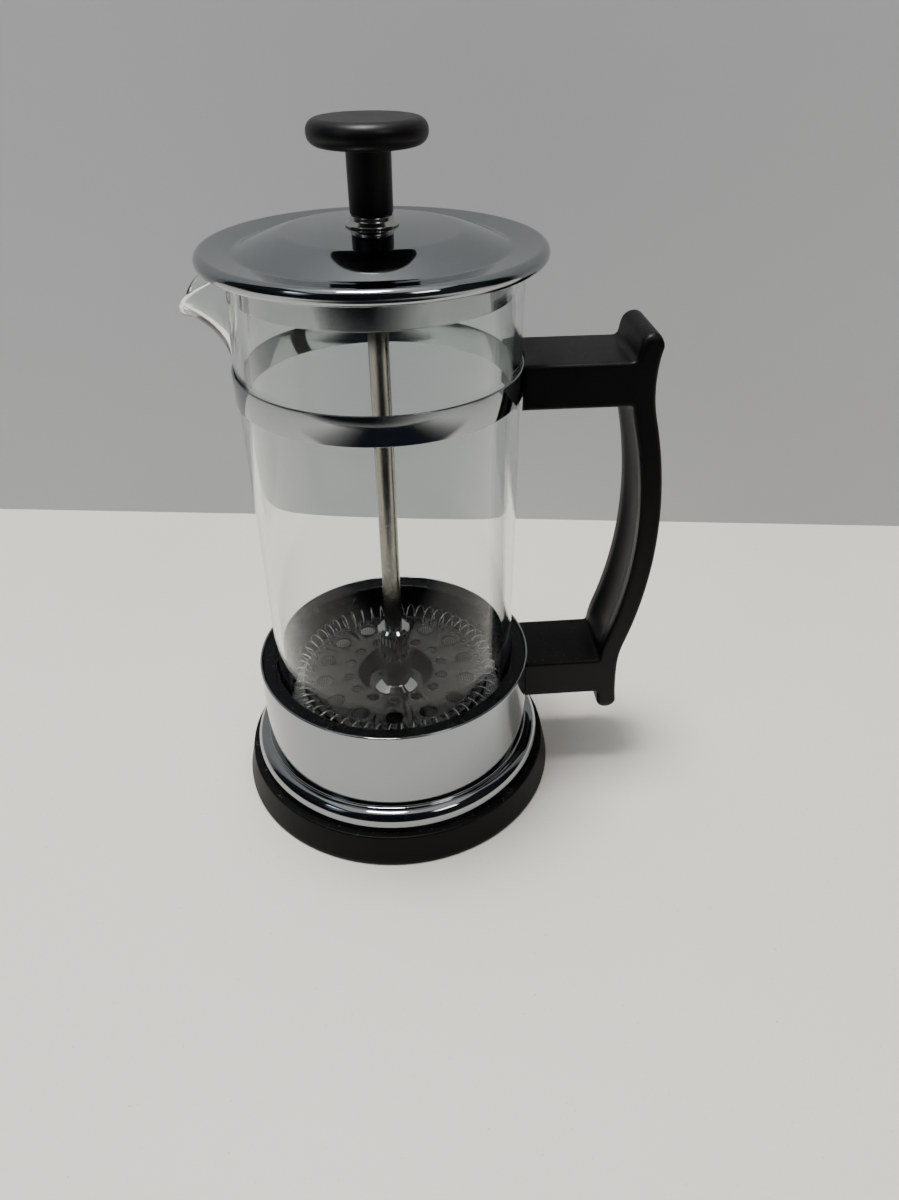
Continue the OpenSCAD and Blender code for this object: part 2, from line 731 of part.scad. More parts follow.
// Sleeve that clamps the plate: chamfered top, groove, neck and flared foot
module rod_hub() {
    neck_r = hub_r - 0.8;
    neck_z = hub_z + 5.6;
    flare_z = hub_z + 2.8;
    color("#dfe1e3")
        difference() {
            rotate_extrude()
                polygon([
                    [0, hub_z],
                    [hub_flare_r, hub_z],
                    [hub_flare_r, hub_z + 0.5],
                    [neck_r, flare_z],
                    [neck_r, neck_z],
                    [neck_r - 0.3, neck_z],
                    [neck_r - 0.3, neck_z + 0.5],
                    [hub_r, neck_z + 0.9],
                    [hub_r, hub_top - 0.8],
                    [hub_r - 0.9, hub_top],
                    [0, hub_top]
                ]);
            translate([0, 0, hub_z - 1]) cylinder(h = hub_h + 2, r = rod_r + fit);
        }
}

// A ring of upright holes
module hole_ring(count, ring_r, hole_r, offset_a = 0) {
    for (i = [0 : count - 1])
        rotate([0, 0, offset_a + 360 * i / count])
            translate([ring_r, 0, plate_z - 3]) cylinder(h = 6, r = hole_r, $fn = 24);
}

// Dished disc whose edge the coil is wound round through a row of fine holes
module spiral_plate() {
    lip = 1.4;
    color("#c9ccd0")
        difference() {
            rotate_extrude($fn = 180)
                polygon([
                    [0, dish_z],
                    [dish_r, dish_z],
                    [dish_top_r, plate_z],
                    [plate_r - plate_t, plate_z],
                    [plate_r - plate_t, plate_z - lip],
                    [plate_r, plate_z - lip],
                    [plate_r, plate_z + plate_t - 0.3],
                    [plate_r - 0.3, plate_z + plate_t],
                    [dish_top_r - 0.3, plate_z + plate_t],
                    [dish_r - 0.3, dish_z + plate_t],
                    [0, dish_z + plate_t]
                ]);
            translate([0, 0, dish_z - 1]) cylinder(h = plate_t + 2, r = rod_r + fit);
            hole_ring(plate_holes, big_ring_r, big_hole_r, 10);
            hole_ring(plate_holes, small_ring_r, small_hole_r, 10);
            hole_ring(coil_turns, wire_ring_r, wire_hole_r, 180 / coil_turns);
        }
}

// A point on the wire's centre line, and the ring of points round it
function coil_at(a) = [
    (coil_ring_r + coil_r * cos(a)) * cos(a / coil_turns),
    (coil_ring_r + coil_r * cos(a)) * sin(a / coil_turns),
    coil_z + coil_r * sin(a)
];
function wire_ring(a) =
    let (
        along = unit(coil_at(a + 1) - coil_at(a - 1)),
        middle = [coil_ring_r * cos(a / coil_turns), coil_ring_r * sin(a / coil_turns), coil_z],
        outward = unit(coil_at(a) - middle),
        side = unit(cross(along, outward)),
        up = cross(side, along)
    )
    [for (k = [0 : wire_sides - 1])
        coil_at(a) + wire_d / 2 * (cos(360 * k / wire_sides) * side + sin(360 * k / wire_sides) * up)];

module filter_coil() {
    rings = coil_turns * coil_steps;
    points = [for (i = [0 : rings - 1]) each wire_ring(i * 360 / coil_steps)];
    faces = [
        for (i = [0 : rings - 1], k = [0 : wire_sides - 1])
            let (
                a = i * wire_sides,
                b = ((i + 1) % rings) * wire_sides,
                n = (k + 1) % wire_sides
            )
            each [[a + k, a + n, b + n], [a + k, b + n, b + k]]
    ];
    color("#c0c3c7") polyhedron(points, faces);
}

// Fine woven disc with its edge turned up towards the coil
module filter_mesh() {
    color("#85888c")
        difference() {
            rotate_extrude($fn = 180)
                polygon([
                    [0, mesh_z],
                    [mesh_flat_r, mesh_z],
                    [mesh_r, mesh_z + 0.6],
                    [mesh_r - 0.1, mesh_z + 0.6 + mesh_t],
                    [mesh_flat_r - 0.1, mesh_z + mesh_t],
                    [0, mesh_z + mesh_t]
                ]);
            translate([0, 0, mesh_z - 1]) cylinder(h = mesh_t + 2, r = rod_r + fit);
        }
}

module cross_plate() {
    color("#a6a9ad")
        translate([0, 0, cross_z])
            difference() {
                cylinder(h = cross_t, r = cross_r, $fn = 180);
                translate([0, 0, -1]) cylinder(h = cross_t + 2, r = rod_r + fit);
                for (i = [0 : windows - 1])
                    rotate([0, 0, 360 * (i + 0.5) / windows])
                        translate([window_ring_r, 0, -1]) cylinder(h = cross_t + 2, r = window_r);
            }
}

module filter_nut() {
    color("#b2b5b9")
        translate([0, 0, nut_z])
            difference() {
                cylinder(h = filter_nut_h, r = rod_r + 2.4, $fn = 6);
                translate([0, 0, -1]) cylinder(h = filter_nut_h + 2, r = rod_r + fit);
            }
}

foot_ring();
base_shell();
base_liner();
foot_screws();
handle();
strap();
strap_screw();
base_bracket();
bracket_screw();
glass_beaker();
lid_cover();
lid_base();
lid_bushing();
bushing_nut();
knob();
knob_insert();
plunger_rod();
rod_hub();
spiral_plate();
filter_coil();
filter_mesh();
cross_plate();
filter_nut();
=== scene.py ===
from math import asin, atan2, ceil, cos, degrees, hypot, pi, radians, sin, sqrt, tan

import bmesh
import bpy
import numpy as np
from mathutils import Matrix, Vector


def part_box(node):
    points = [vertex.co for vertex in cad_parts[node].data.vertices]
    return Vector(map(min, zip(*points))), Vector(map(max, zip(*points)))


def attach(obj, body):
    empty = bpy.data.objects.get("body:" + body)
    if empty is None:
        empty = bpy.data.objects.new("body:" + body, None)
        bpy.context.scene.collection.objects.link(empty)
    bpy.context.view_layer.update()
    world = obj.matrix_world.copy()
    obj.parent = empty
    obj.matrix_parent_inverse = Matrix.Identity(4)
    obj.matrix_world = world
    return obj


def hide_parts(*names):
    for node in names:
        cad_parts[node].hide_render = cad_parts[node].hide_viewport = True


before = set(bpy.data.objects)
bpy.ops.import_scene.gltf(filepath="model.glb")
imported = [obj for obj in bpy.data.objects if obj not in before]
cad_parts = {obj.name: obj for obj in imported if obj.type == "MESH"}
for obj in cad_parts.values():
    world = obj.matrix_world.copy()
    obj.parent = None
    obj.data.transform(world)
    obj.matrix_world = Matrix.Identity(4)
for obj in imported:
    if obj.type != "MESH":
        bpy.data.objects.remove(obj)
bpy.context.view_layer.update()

# Camera: held in front of the press at arm's length, looking down on it by 35 degrees,
# turned a little to the right and very slightly rolled. The press's own sizes are given
# in mm, and those of the room, the lights and the surface grain in metres.
MM = 0.001
CAMERA_AT = Vector((0, -211.7, 206.7)) * MM
PITCH, YAW, ROLL = 0.61, 0.0795, 0.0075

lens = bpy.data.cameras.new("camera")
lens.lens = 26.37
lens.sensor_width = 36
lens.clip_start = 0.01
lens.clip_end = 20
camera = bpy.data.objects.new("camera", lens)
bpy.context.collection.objects.link(camera)
ahead = Vector((sin(YAW) * cos(PITCH), cos(YAW) * cos(PITCH), -sin(PITCH)))
across = Vector((cos(YAW), -sin(YAW), 0))
down = ahead.cross(across)
right = across * cos(ROLL) + down * sin(ROLL)
up = across * sin(ROLL) - down * cos(ROLL)
turned_to = Matrix((right, up, -ahead)).transposed().to_4x4()
camera.matrix_world = Matrix.Translation(CAMERA_AT) @ turned_to
bpy.context.scene.camera = camera

# Table and wall: a pale matt table top and a plain light grey wall that stands on it
# behind the press. The wall is seen only from its front, so it never hides the back view.
WALL_Y = 155 * MM
WALL_SLOPE = -0.134
WALL_HALF = 1.6
WALL_HEIGHT = 1.5
TABLE_HALF = 2
TABLE_COLOUR = (0.82, 0.79, 0.735, 1)
SPECK_COLOUR = (0.45, 0.42, 0.38, 1)
WALL_COLOUR = (0.50, 0.52, 0.54, 1)


def add(tree, kind, sockets=None, **settings):
    """A node whose sockets hold plain values or are joined to another node's output."""
    made = tree.nodes.new(kind)
    for setting, value in settings.items():
        setattr(made, setting, value)
    for socket, value in (sockets or {}).items():
        if isinstance(value, bpy.types.NodeSocket):
            tree.links.new(value, made.inputs[socket])
        else:
            made.inputs[socket].default_value = value
    return made


def new_finish(name):
    """An empty material: its node tree and the output that a surface goes into."""
    finish = bpy.data.materials.new(name)
    finish.use_nodes = True
    finish.node_tree.nodes.clear()
    return finish, finish.node_tree, finish.node_tree.nodes.new("ShaderNodeOutputMaterial")


def own_place(tree):
    return add(tree, "ShaderNodeTexCoord").outputs["Object"]


def noise(tree, place, scale, detail, roughness=0.5):
    return add(tree, "ShaderNodeTexNoise", {
        "Vector": place, "Scale": scale, "Detail": detail, "Roughness": roughness}).outputs["Fac"]


def between(tree, value, low, high, **settings):
    """0 where value is at low or less and 1 where it is at high or more."""
    return add(tree, "ShaderNodeMapRange", {
        "Value": value, "From Min": low, "From Max": high}, **settings).outputs[0]


def bumps(tree, height, strength, depth):
    return add(tree, "ShaderNodeBump", {
        "Height": height, "Strength": strength, "Distance": depth}).outputs[0]


def darker(colour, share):
    return tuple(share * c for c in colour[:3]) + (1,)


def coat(tree, surface, sockets):
    """The surface shader with its sockets filled, joined to the material's output."""
    shader = add(tree, "ShaderNodeBsdfPrincipled", sockets)
    tree.links.new(shader.outputs[0], surface.inputs["Surface"])


def blended(tree, share, low, high):
    """A colour between low and high, mixed by share."""
    colours = {"Factor": share, 6: low, 7: high}
    return add(tree, "ShaderNodeMix", colours, data_type="RGBA").outputs[2]


def either(tree, surface, share, first, second):
    """The first shader, or the second where share is 1, joined to the material's output."""
    mix = add(tree, "ShaderNodeMixShader", {
        0: share, 1: first.outputs[0], 2: second.outputs[0]})
    tree.links.new(mix.outputs[0], surface.inputs["Surface"])


table_finish, tree, surface = new_finish("table_top")
place = own_place(tree)
mottle = noise(tree, place, 7.0, 4.0)
grit = noise(tree, place, 1100.0, 2.0)
top_colour = blended(tree, mottle, TABLE_COLOUR, darker(TABLE_COLOUR, 0.95))
top_colour = blended(tree, between(tree, grit, 0.71, 0.8), top_colour, SPECK_COLOUR)
coat(tree, surface, {
    "Base Color": top_colour, "Roughness": 0.55, "Normal": bumps(tree, grit, 0.15, 0.0002)})

wall_finish, tree, surface = new_finish("wall_paint")
mottle = noise(tree, own_place(tree), 3.0, 3.0)
wall_colour = blended(tree, mottle, WALL_COLOUR, darker(WALL_COLOUR, 0.93))
wall_shader = add(tree, "ShaderNodeBsdfPrincipled", {"Base Color": wall_colour, "Roughness": 0.6})
behind = add(tree, "ShaderNodeNewGeometry").outputs["Backfacing"]
either(tree, surface, behind, wall_shader, add(tree, "ShaderNodeBsdfTransparent"))


def flat_sheet(name, corners, finish):
    mesh = bpy.data.meshes.new(name)
    mesh.from_pydata(corners, [], [tuple(range(len(corners)))])
    mesh.materials.append(finish)
    sheet = bpy.data.objects.new(name, mesh)
    bpy.context.collection.objects.link(sheet)
    return sheet


flat_sheet("table", [
    (-TABLE_HALF, -TABLE_HALF, 0), (TABLE_HALF, -TABLE_HALF, 0),
    (TABLE_HALF, TABLE_HALF, 0), (-TABLE_HALF, TABLE_HALF, 0)], table_finish)
left_y = WALL_Y - WALL_SLOPE * WALL_HALF
right_y = WALL_Y + WALL_SLOPE * WALL_HALF
flat_sheet("wall", [
    (-WALL_HALF, left_y, 0), (WALL_HALF, right_y, 0),
    (WALL_HALF, right_y, WALL_HEIGHT), (-WALL_HALF, left_y, WALL_HEIGHT)], wall_finish)

# Studio light: a wide faint ceiling, a strong light overhead, a cool window at the front
# left and a small white light at the front right. Four dark cards stand in front and at
# the sides as painted reflections: their dark colour shows only where the bright metal mirrors them.
CARD_COLOUR = (0.012, 0.014, 0.02, 1)
ROOM_COLOUR = (0.30, 0.32, 0.35, 1)
ROOM_SEEN, ROOM_GLOW = 0.85, 0.09
FADE_X, FADE_Z = 0.38, 0.10
painted_reflection_finish, tree, surface = new_finish("painted_reflection_card")
over_card = add(tree, "ShaderNodeTexCoord").outputs["Generated"]
across_card = add(tree, "ShaderNodeSeparateXYZ", {0: over_card}).outputs


def sum_of(tree, kind, *values):
    """A sum of the kind that is named, with each value a number or a node's output."""
    return add(tree, "ShaderNodeMath", dict(enumerate(values)), operation=kind).outputs[0]


def from_edge(share, fade):
    """1 inside a sheet, falling softly to 0 at its two edges along one direction."""
    away = sum_of(tree, "ABSOLUTE", sum_of(tree, "SUBTRACT", share, 0.5))
    return between(tree, away, 0.5, 0.5 - fade, interpolation_type="SMOOTHSTEP")


# The card's dark colour is a painted reflection, seen only after a glossy bounce off the metal.
card_shader = add(tree, "ShaderNodeBsdfDiffuse", {"Color": CARD_COLOUR})
card_clear = add(tree, "ShaderNodeBsdfTransparent")
bounced = add(tree, "ShaderNodeLightPath").outputs["Glossy Depth"]
mirrored = sum_of(tree, "GREATER_THAN", bounced, 0.5)
card_share = sum_of(tree, "MULTIPLY", from_edge(across_card["X"], FADE_X),
                    from_edge(across_card["Z"], FADE_Z))
card_share = sum_of(tree, "MULTIPLY", card_share, mirrored)
either(tree, surface, card_share, card_clear, card_shader)
cards = [flat_sheet("card_low", [
    (-0.29, -0.112, 0.003), (0.34, -0.112, 0.003), (0.34, -0.40, 0.012), (-0.29, -0.40, 0.012)],
    painted_reflection_finish)]
for name, start, end, low, high in (
        ("card_upright", (-0.72, -0.36), (0.36, -0.36), -0.03, 0.85),
        ("card_left", (-0.46, -0.52), (-0.62, 0.06), 0.0, 0.60),
        ("card_right", (0.48, -0.24), (0.60, 0.10), 0.0, 0.60)):
    corners = [(*start, low), (*end, low), (*end, high), (*start, high)]
    cards.append(flat_sheet(name, corners, painted_reflection_finish))
for card in cards:
    card.visible_camera = card.visible_diffuse = card.visible_shadow = False

world = bpy.data.worlds.new("room")
bpy.context.scene.world = world
world.use_nodes = True
tree, backdrop = world.node_tree, world.node_tree.nodes["Background"]
backdrop.inputs["Color"].default_value = ROOM_COLOUR
# The room is pale where it is seen, straight or through glass, and dim where it only lights.
way = add(tree, "ShaderNodeLightPath").outputs
bounces = sum_of(tree, "ADD", way["Glossy Depth"], way["Diffuse Depth"])
room_light = add(tree, "ShaderNodeMapRange", {
    "Value": bounces, "To Min": ROOM_SEEN, "To Max": ROOM_GLOW})
tree.links.new(room_light.outputs[0], backdrop.inputs["Strength"])


def soft_light(name, at, towards, size, watts, colour):
    lamp = bpy.data.lights.new(name, "AREA")
    lamp.shape = "RECTANGLE"
    lamp.size, lamp.size_y = size
    lamp.energy = watts
    lamp.color = colour
    holder = bpy.data.objects.new(name, lamp)
    holder.location = at
    holder.rotation_euler = (Vector(towards) - Vector(at)).to_track_quat("-Z", "Y").to_euler()
    bpy.context.collection.objects.link(holder)


soft_light("ceiling", (0, -0.15, 1.60), (0, -0.15, 0), (1.7, 1.1), 4.5, (1.0, 0.98, 0.95))
soft_light("overhead", (-0.10, 0.05, 1.50), (0, 0, 0), (0.38, 0.32), 32.0, (1.0, 0.97, 0.93))
soft_light("window", (-0.75, -0.55, 0.75), (0, 0, 0.08), (0.35, 0.45), 1.9, (0.80, 0.90, 1.0))
soft_light("front_right", (0.45, -0.60, 0.90), (0, 0, 0.08), (0.25, 0.2), 1.5, (1.0, 0.97, 0.93))

# Foot: a heavy ring of satin black plastic moulded with a sloping side, a narrow ledge
# and a floor inside. Three screws from below hold it to the bosses of the liner.
foot_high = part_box("foot_ring")[1] / MM
shell_low, shell_high = (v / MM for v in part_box("base_shell"))
FOOT_EDGE = 0.9
FOOT_KNEE = 1.4
FOOT_LEDGE_EDGE = 0.6
FOOT_LEDGE = 2.0
FOOT_FLOOR = 1.2
FOOT_FLOOR_TOP = 3.4
FOOT_BORE_R = 38.0
FOOT_RECESS_R = 33.8
FOOT_RECESS_SLOPE = 1
SCREWS = 3
SCREW_RING_R = 28.3
SCREW_RING_A = 60
SCREW_SEAT_R = 3.2
SCREW_SEAT_TOP = 2.6
SCREW_HOLE_R = 1.56
SCREW_HOLE_TOP = 8
DRILL_PAST = 1
BLACK = (0.0014, 0.0017, 0.0021, 1)
BLACK_WORN = (0.008, 0.009, 0.010, 1)
DUST_COLOUR = (0.32, 0.31, 0.29, 1)
# A corner takes at most this share of the sides beside it, in steps of this many degrees.
CORNER_REACH = 0.47
CORNER_STEP_A = 11
# A flat side keeps a line this far from its rounded corner, where it has room for one.
MARGIN_LEAST, MARGIN_GROWTH, MARGIN_MOST = 0.02, 0.15, 0.12
MARGIN_ROOM = 2.2
TINY = 1e-6


def arc(cx, cz, r, start, end, steps=12):
    """Points on an arc between two angles in degrees."""
    angles = [radians(start + (end - start) * i / steps) for i in range(steps + 1)]
    return [(cx + r * cos(a), cz + r * sin(a)) for a in angles]


def eased(corners, closed=True):
    """An outline in (radius, height) whose corners are rounded by their third number."""
    outline = []
    count = len(corners)
    for i, corner in enumerate(corners):
        ease = corner[2] if len(corner) > 2 else 0
        here = Vector(corner[:2])
        if not ease or (not closed and i in (0, count - 1)):
            outline.append(tuple(here))
            continue
        back = Vector(corners[i - 1][:2]) - here
        on = Vector(corners[(i + 1) % count][:2]) - here
        open_angle = back.angle(on)
        reach = min(ease / tan(open_angle / 2), CORNER_REACH * back.length, CORNER_REACH * on.length)
        ease = reach * tan(open_angle / 2)
        centre = here + (back.normalized() + on.normalized()).normalized() * hypot(reach, ease)
        first, last = here + back.normalized() * reach, here + on.normalized() * reach
        spread = (first - centre).angle(last - centre)
        steps = max(3, ceil(degrees(spread) / CORNER_STEP_A))
        margin = min(MARGIN_MOST, MARGIN_GROWTH * reach + MARGIN_LEAST)
        if back.length > MARGIN_ROOM * (reach + margin):
            outline.append(tuple(first + back.normalized() * margin))
        for k in range(steps + 1):
            share = k / steps
            swung = ((first - centre) * sin((1 - share) * spread)
                     + (last - centre) * sin(share * spread))
            outline.append(tuple(centre + swung / sin(spread)))
        if on.length > MARGIN_ROOM * (reach + margin):
            outline.append(tuple(last + on.normalized() * margin))
    return outline


def turned(outline, segments=192, closed=True):
    """Points and faces of an outline in (radius, height) turned about the Z axis, in metres."""
    points, faces, rings = [], [], []
    for r, z in outline:
        if r < TINY:
            rings.append([len(points)])
            points.append((0, 0, z * MM))
        else:
            rings.append(range(len(points), len(points) + segments))
            turns = [2 * pi * k / segments for k in range(segments)]
            points += [(r * MM * cos(t), r * MM * sin(t), z * MM) for t in turns]
    if closed:
        rings.append(rings[0])
    for a, b in zip(rings, rings[1:]):
        for k in range(segments):
            n = (k + 1) % segments
            if len(a) > 1 and len(b) > 1:
                faces.append((a[k], a[n], b[n], b[k]))
            elif len(b) > 1:
                faces.append((a[0], b[n], b[k]))
            elif len(a) > 1:
                faces.append((a[k], a[n], b[0]))
    return points, faces


def settle_shading(mesh, crease):
    """Outward faces and smooth shading, sharp where the surface turns by more than crease."""
    work = bmesh.new()
    work.from_mesh(mesh)
    bmesh.ops.recalc_face_normals(work, faces=work.faces)
    work.to_mesh(mesh)
    work.free()
    mesh.shade_smooth()
    mesh.set_sharp_from_angle(angle=radians(crease))


def made_piece(name, points, faces, finish, crease=35):
    mesh = bpy.data.meshes.new(name)
    mesh.from_pydata([tuple(p) for p in points], [], faces)
    settle_shading(mesh, crease)
    mesh.materials.append(finish)
    piece = bpy.data.objects.new(name, mesh)
    bpy.context.collection.objects.link(piece)
    return piece


def cut_away(piece, points, faces, crease=35):
    """Takes the space of a closed cutter out of a piece."""
    finish = piece.data.materials[0]
    cutter = made_piece("cutter", points, faces, finish)
    cut = piece.modifiers.new("cut", "BOOLEAN")
    cut.operation, cut.solver, cut.object = "DIFFERENCE", "EXACT", cutter
    bpy.context.view_layer.update()
    worked = piece.evaluated_get(bpy.context.evaluated_depsgraph_get())
    mesh = bpy.data.meshes.new_from_object(worked)
    piece.modifiers.clear()
    piece.data = mesh
    mesh.name = piece.name
    settle_shading(mesh, crease)
    bpy.data.objects.remove(cutter)


def round_axis(count, r, first):
    """Places evenly round the Z axis at radius r, from an angle in degrees."""
    return [Matrix.Rotation(radians(first + 360 * i / count), 4, "Z")
            @ Matrix.Translation((r * MM, 0, 0)) for i in range(count)]


def several(part, places):
    """The points and faces of one part repeated at each matrix in places."""
    points, faces = [], []
    for place in places:
        start = len(points)
        points += [tuple(place @ Vector(p)) for p in part[0]]
        faces += [tuple(start + i for i in face) for face in part[1]]
    return points, faces


def new_group(name, inputs, outputs):
    """An empty shader node group with named number sockets."""
    group = bpy.data.node_groups.new(name, "ShaderNodeTree")
    for socket, value in inputs:
        made = group.interface.new_socket(socket, in_out="INPUT", socket_type="NodeSocketFloat")
        made.default_value = value
    for socket in outputs:
        group.interface.new_socket(socket, in_out="OUTPUT", socket_type="NodeSocketFloat")
    return group, add(group, "NodeGroupInput").outputs, add(group, "NodeGroupOutput").inputs


# Moulded grain: the fine spark-eroded texture that the mould leaves on black plastic.
grain_group, given, out = new_group(
    "moulded_grain", [("Size", 2500.0), ("Roughness", 0.4), ("Spread", 0.1)], ["Height", "Roughness"])
place = own_place(grain_group)
pits = noise(grain_group, place, given["Size"], 2.0)
cloud = noise(grain_group, place, 90.0, 3.0)
grain_group.links.new(pits, out["Height"])
off_middle = sum_of(grain_group, "SUBTRACT", cloud, 0.5)
grain_group.links.new(sum_of(
    grain_group, "MULTIPLY_ADD", off_middle, given["Spread"], given["Roughness"]), out["Roughness"])

# Edge wear: where a corner is rounded outwards, handling has rubbed it paler.
wear_group, given, out = new_group(
    "edge_wear", [("Start", 0.53), ("Full", 0.62), ("Patchiness", 0.5)], ["Mask"])
place = own_place(wear_group)
bend = add(wear_group, "ShaderNodeNewGeometry").outputs["Pointiness"]
worn = between(wear_group, bend, given["Start"], given["Full"])
gaps = sum_of(wear_group, "SUBTRACT", noise(wear_group, place, 260.0, 4.0), 1.0)
kept = sum_of(wear_group, "MULTIPLY_ADD", gaps, given["Patchiness"], 1.0)
wear_group.links.new(sum_of(wear_group, "MULTIPLY", worn, kept), out["Mask"])

# Dust: small pale specks that lie on faces that look upwards.
dust_group, given, out = new_group("dust", [("Size", 900.0), ("Amount", 0.3)], ["Mask"])
place = own_place(dust_group)
outward_way = add(dust_group, "ShaderNodeNewGeometry").outputs["Normal"]
facing = add(dust_group, "ShaderNodeSeparateXYZ", {0: outward_way}).outputs["Z"]
flecks = noise(dust_group, place, given["Size"], 1.0)
lying = sum_of(dust_group, "MULTIPLY", between(dust_group, flecks, 0.68, 0.76),
               between(dust_group, facing, 0.3, 0.9))
dust_group.links.new(sum_of(dust_group, "MULTIPLY", lying, given["Amount"]), out["Mask"])


def grouped(tree, group, **values):
    """A node group placed in a material with its own values."""
    made = tree.nodes.new("ShaderNodeGroup")
    made.node_tree = group
    for socket, value in values.items():
        made.inputs[socket].default_value = value
    return made.outputs


def black_plastic(name, roughness, spread, grain_size, grain_depth, dust_amount, gloss):
    """Black moulded plastic: grained, worn paler at its corners and a little dusty on top."""
    finish, tree, surface = new_finish(name)
    grain = grouped(tree, grain_group, Size=grain_size, Roughness=roughness, Spread=spread)
    wear = grouped(tree, wear_group)
    dust = grouped(tree, dust_group, Amount=dust_amount)
    colour = blended(tree, wear["Mask"], BLACK, BLACK_WORN)
    colour = blended(tree, dust["Mask"], colour, DUST_COLOUR)
    coat(tree, surface, {
        "Base Color": colour, "Roughness": grain["Roughness"], "Specular IOR Level": gloss,
        "Normal": bumps(tree, grain["Height"], 0.35, grain_depth)})
    return finish


satin_black = black_plastic("satin_black_plastic", 0.40, 0.12, 2600.0, 0.00003, 0.12, 0.23)
foot_black = black_plastic("foot_black_plastic", 0.46, 0.12, 2200.0, 0.00004, 0.12, 0.11)
foot_r = foot_high.x
foot_top = foot_high.z
ledge_r = shell_high.x + FOOT_LEDGE
foot_outline = eased([
    (0, FOOT_FLOOR), (FOOT_RECESS_R, FOOT_FLOOR, 0.3), (FOOT_RECESS_R + FOOT_RECESS_SLOPE, 0, 0.3),
    (foot_r, 0, FOOT_EDGE), (foot_r, FOOT_KNEE, 1.2), (ledge_r, foot_top, FOOT_LEDGE_EDGE),
    (FOOT_BORE_R, foot_top, 0.3), (FOOT_BORE_R, FOOT_FLOOR_TOP, 0.5), (0, FOOT_FLOOR_TOP)],
    closed=False)
foot = made_piece("foot", *turned(foot_outline, closed=False), foot_black)
seat = turned([
    (0, -DRILL_PAST), (SCREW_SEAT_R, -DRILL_PAST), (SCREW_SEAT_R, SCREW_SEAT_TOP),
    (SCREW_HOLE_R, SCREW_SEAT_TOP), (SCREW_HOLE_R, SCREW_HOLE_TOP), (0, SCREW_HOLE_TOP)],
    segments=40, closed=False)
screw_places = round_axis(SCREWS, SCREW_RING_R, SCREW_RING_A)
cut_away(foot, *several(seat, screw_places))
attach(foot, "frame")
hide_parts("foot_ring")

# Base shell: thin bright steel drawn into a straight wall with a rounded step and an
# upright flange below it. The flange stands on the foot's ledge, held by the liner inside.
SHEET = 0.7
SHELL_R = 40.3
STEP_R = 3.3
STEP_Z = 12.5
COVE_R = 0.6
SHELL_EDGE = 0.2
BEND_HOLD = 0.3
STEEL = (0.31, 0.33, 0.345, 1)

# Handling marks: faint cloudy smears and hair-fine wiping scratches on bright metal.
marks_group, given, out = new_group(
    "handling_marks", [("Roughness", 0.05), ("Smear", 0.05), ("Scratch", 0.05)],
    ["Roughness", "Height"])
place = own_place(marks_group)
cloudy = between(marks_group, noise(marks_group, place, 55.0, 4.0, 0.6), 0.45, 0.75)
stretched = add(marks_group, "ShaderNodeMapping", {"Vector": place, "Scale": (900.0, 900.0, 9000.0)})
hairs = noise(marks_group, stretched.outputs[0], 1.0, 2.0)
scratched = between(marks_group, hairs, 0.6, 0.8)
smeared = sum_of(marks_group, "MULTIPLY_ADD", cloudy, given["Smear"], given["Roughness"])
marks_group.links.new(sum_of(
    marks_group, "MULTIPLY_ADD", scratched, given["Scratch"], smeared), out["Roughness"])
marks_group.links.new(hairs, out["Height"])


def bright_metal(name, colour, roughness, smear, scratch, depth=0.0000015):
    """Bright metal with its own colour and polish, and the marks of use."""
    finish, tree, surface = new_finish(name)
    marks = grouped(tree, marks_group, Roughness=roughness, Smear=smear, Scratch=scratch)
    tone = noise(tree, own_place(tree), 30.0, 3.0)
    coat(tree, surface, {
        "Base Color": blended(tree, tone, colour, darker(colour, 0.94)), "Metallic": 1.0,
        "Roughness": marks["Roughness"], "Normal": bumps(tree, marks["Height"], 0.3, depth)})
    return finish


polished_steel = bright_metal("polished_steel_sheet", STEEL, 0.045, 0.05, 0.05)
shell_top = shell_high.z
flange_r = shell_high.x
step_cx = flange_r - STEP_R
flange_top = STEP_Z - 2 * BEND_HOLD
shell_outline = (
    arc(SHELL_R - SHEET / 2, shell_top - SHEET / 2, SHEET / 2, 180, 0, 10)
    + [(SHELL_R, shell_top - SHEET), (SHELL_R, STEP_Z + STEP_R + COVE_R + BEND_HOLD)]
    + arc(SHELL_R + COVE_R, STEP_Z + STEP_R + COVE_R, COVE_R, 180, 270, 8)
    + arc(step_cx, STEP_Z, STEP_R, 88, 0, 22)
    + [(flange_r, STEP_Z - BEND_HOLD)]
    + eased([(flange_r, flange_top), (flange_r, shell_low.z, SHELL_EDGE),
             (flange_r - SHEET, shell_low.z, SHELL_EDGE), (flange_r - SHEET, flange_top)],
            closed=False)
    + arc(step_cx, STEP_Z, STEP_R - SHEET, 0, 90, 12)
    + [(SHELL_R - SHEET, STEP_Z + STEP_R - SHEET), (SHELL_R - SHEET, STEP_Z + STEP_R)])
shell = made_piece("shell", *turned(shell_outline, segments=256), polished_steel, crease=50)
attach(shell, "frame")
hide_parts("base_shell")

# Liner: a smooth black plastic cup inside the shell, with a broad flat lip round the
# glass, a shelf that it stands on, and three screw bosses under the shelf.
liner_low, liner_high = (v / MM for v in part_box("base_liner"))
LINER_BORE_R = 35.3
LIP_DROP = 0.4
SHELF_Z = 21.3
SHELF = 2.5
SHELF_HOLE_R = 14
BOSS_R = 3.7
BOSS_SUNK = 0.02
liner_black = black_plastic("liner_black_plastic", 0.28, 0.10, 1800.0, 0.000003, 0.12, 0.16)
liner_r = liner_high.y
liner_top = liner_high.z
shelf_low = SHELF_Z - SHELF
liner_outline = eased([
    (SHELF_HOLE_R, shelf_low, 0.4), (liner_r, shelf_low, 0.4), (liner_r, liner_top, 0.35),
    (LINER_BORE_R, liner_top - LIP_DROP, 0.9), (LINER_BORE_R, SHELF_Z, 0.8),
    (SHELF_HOLE_R, SHELF_Z, 0.4)])
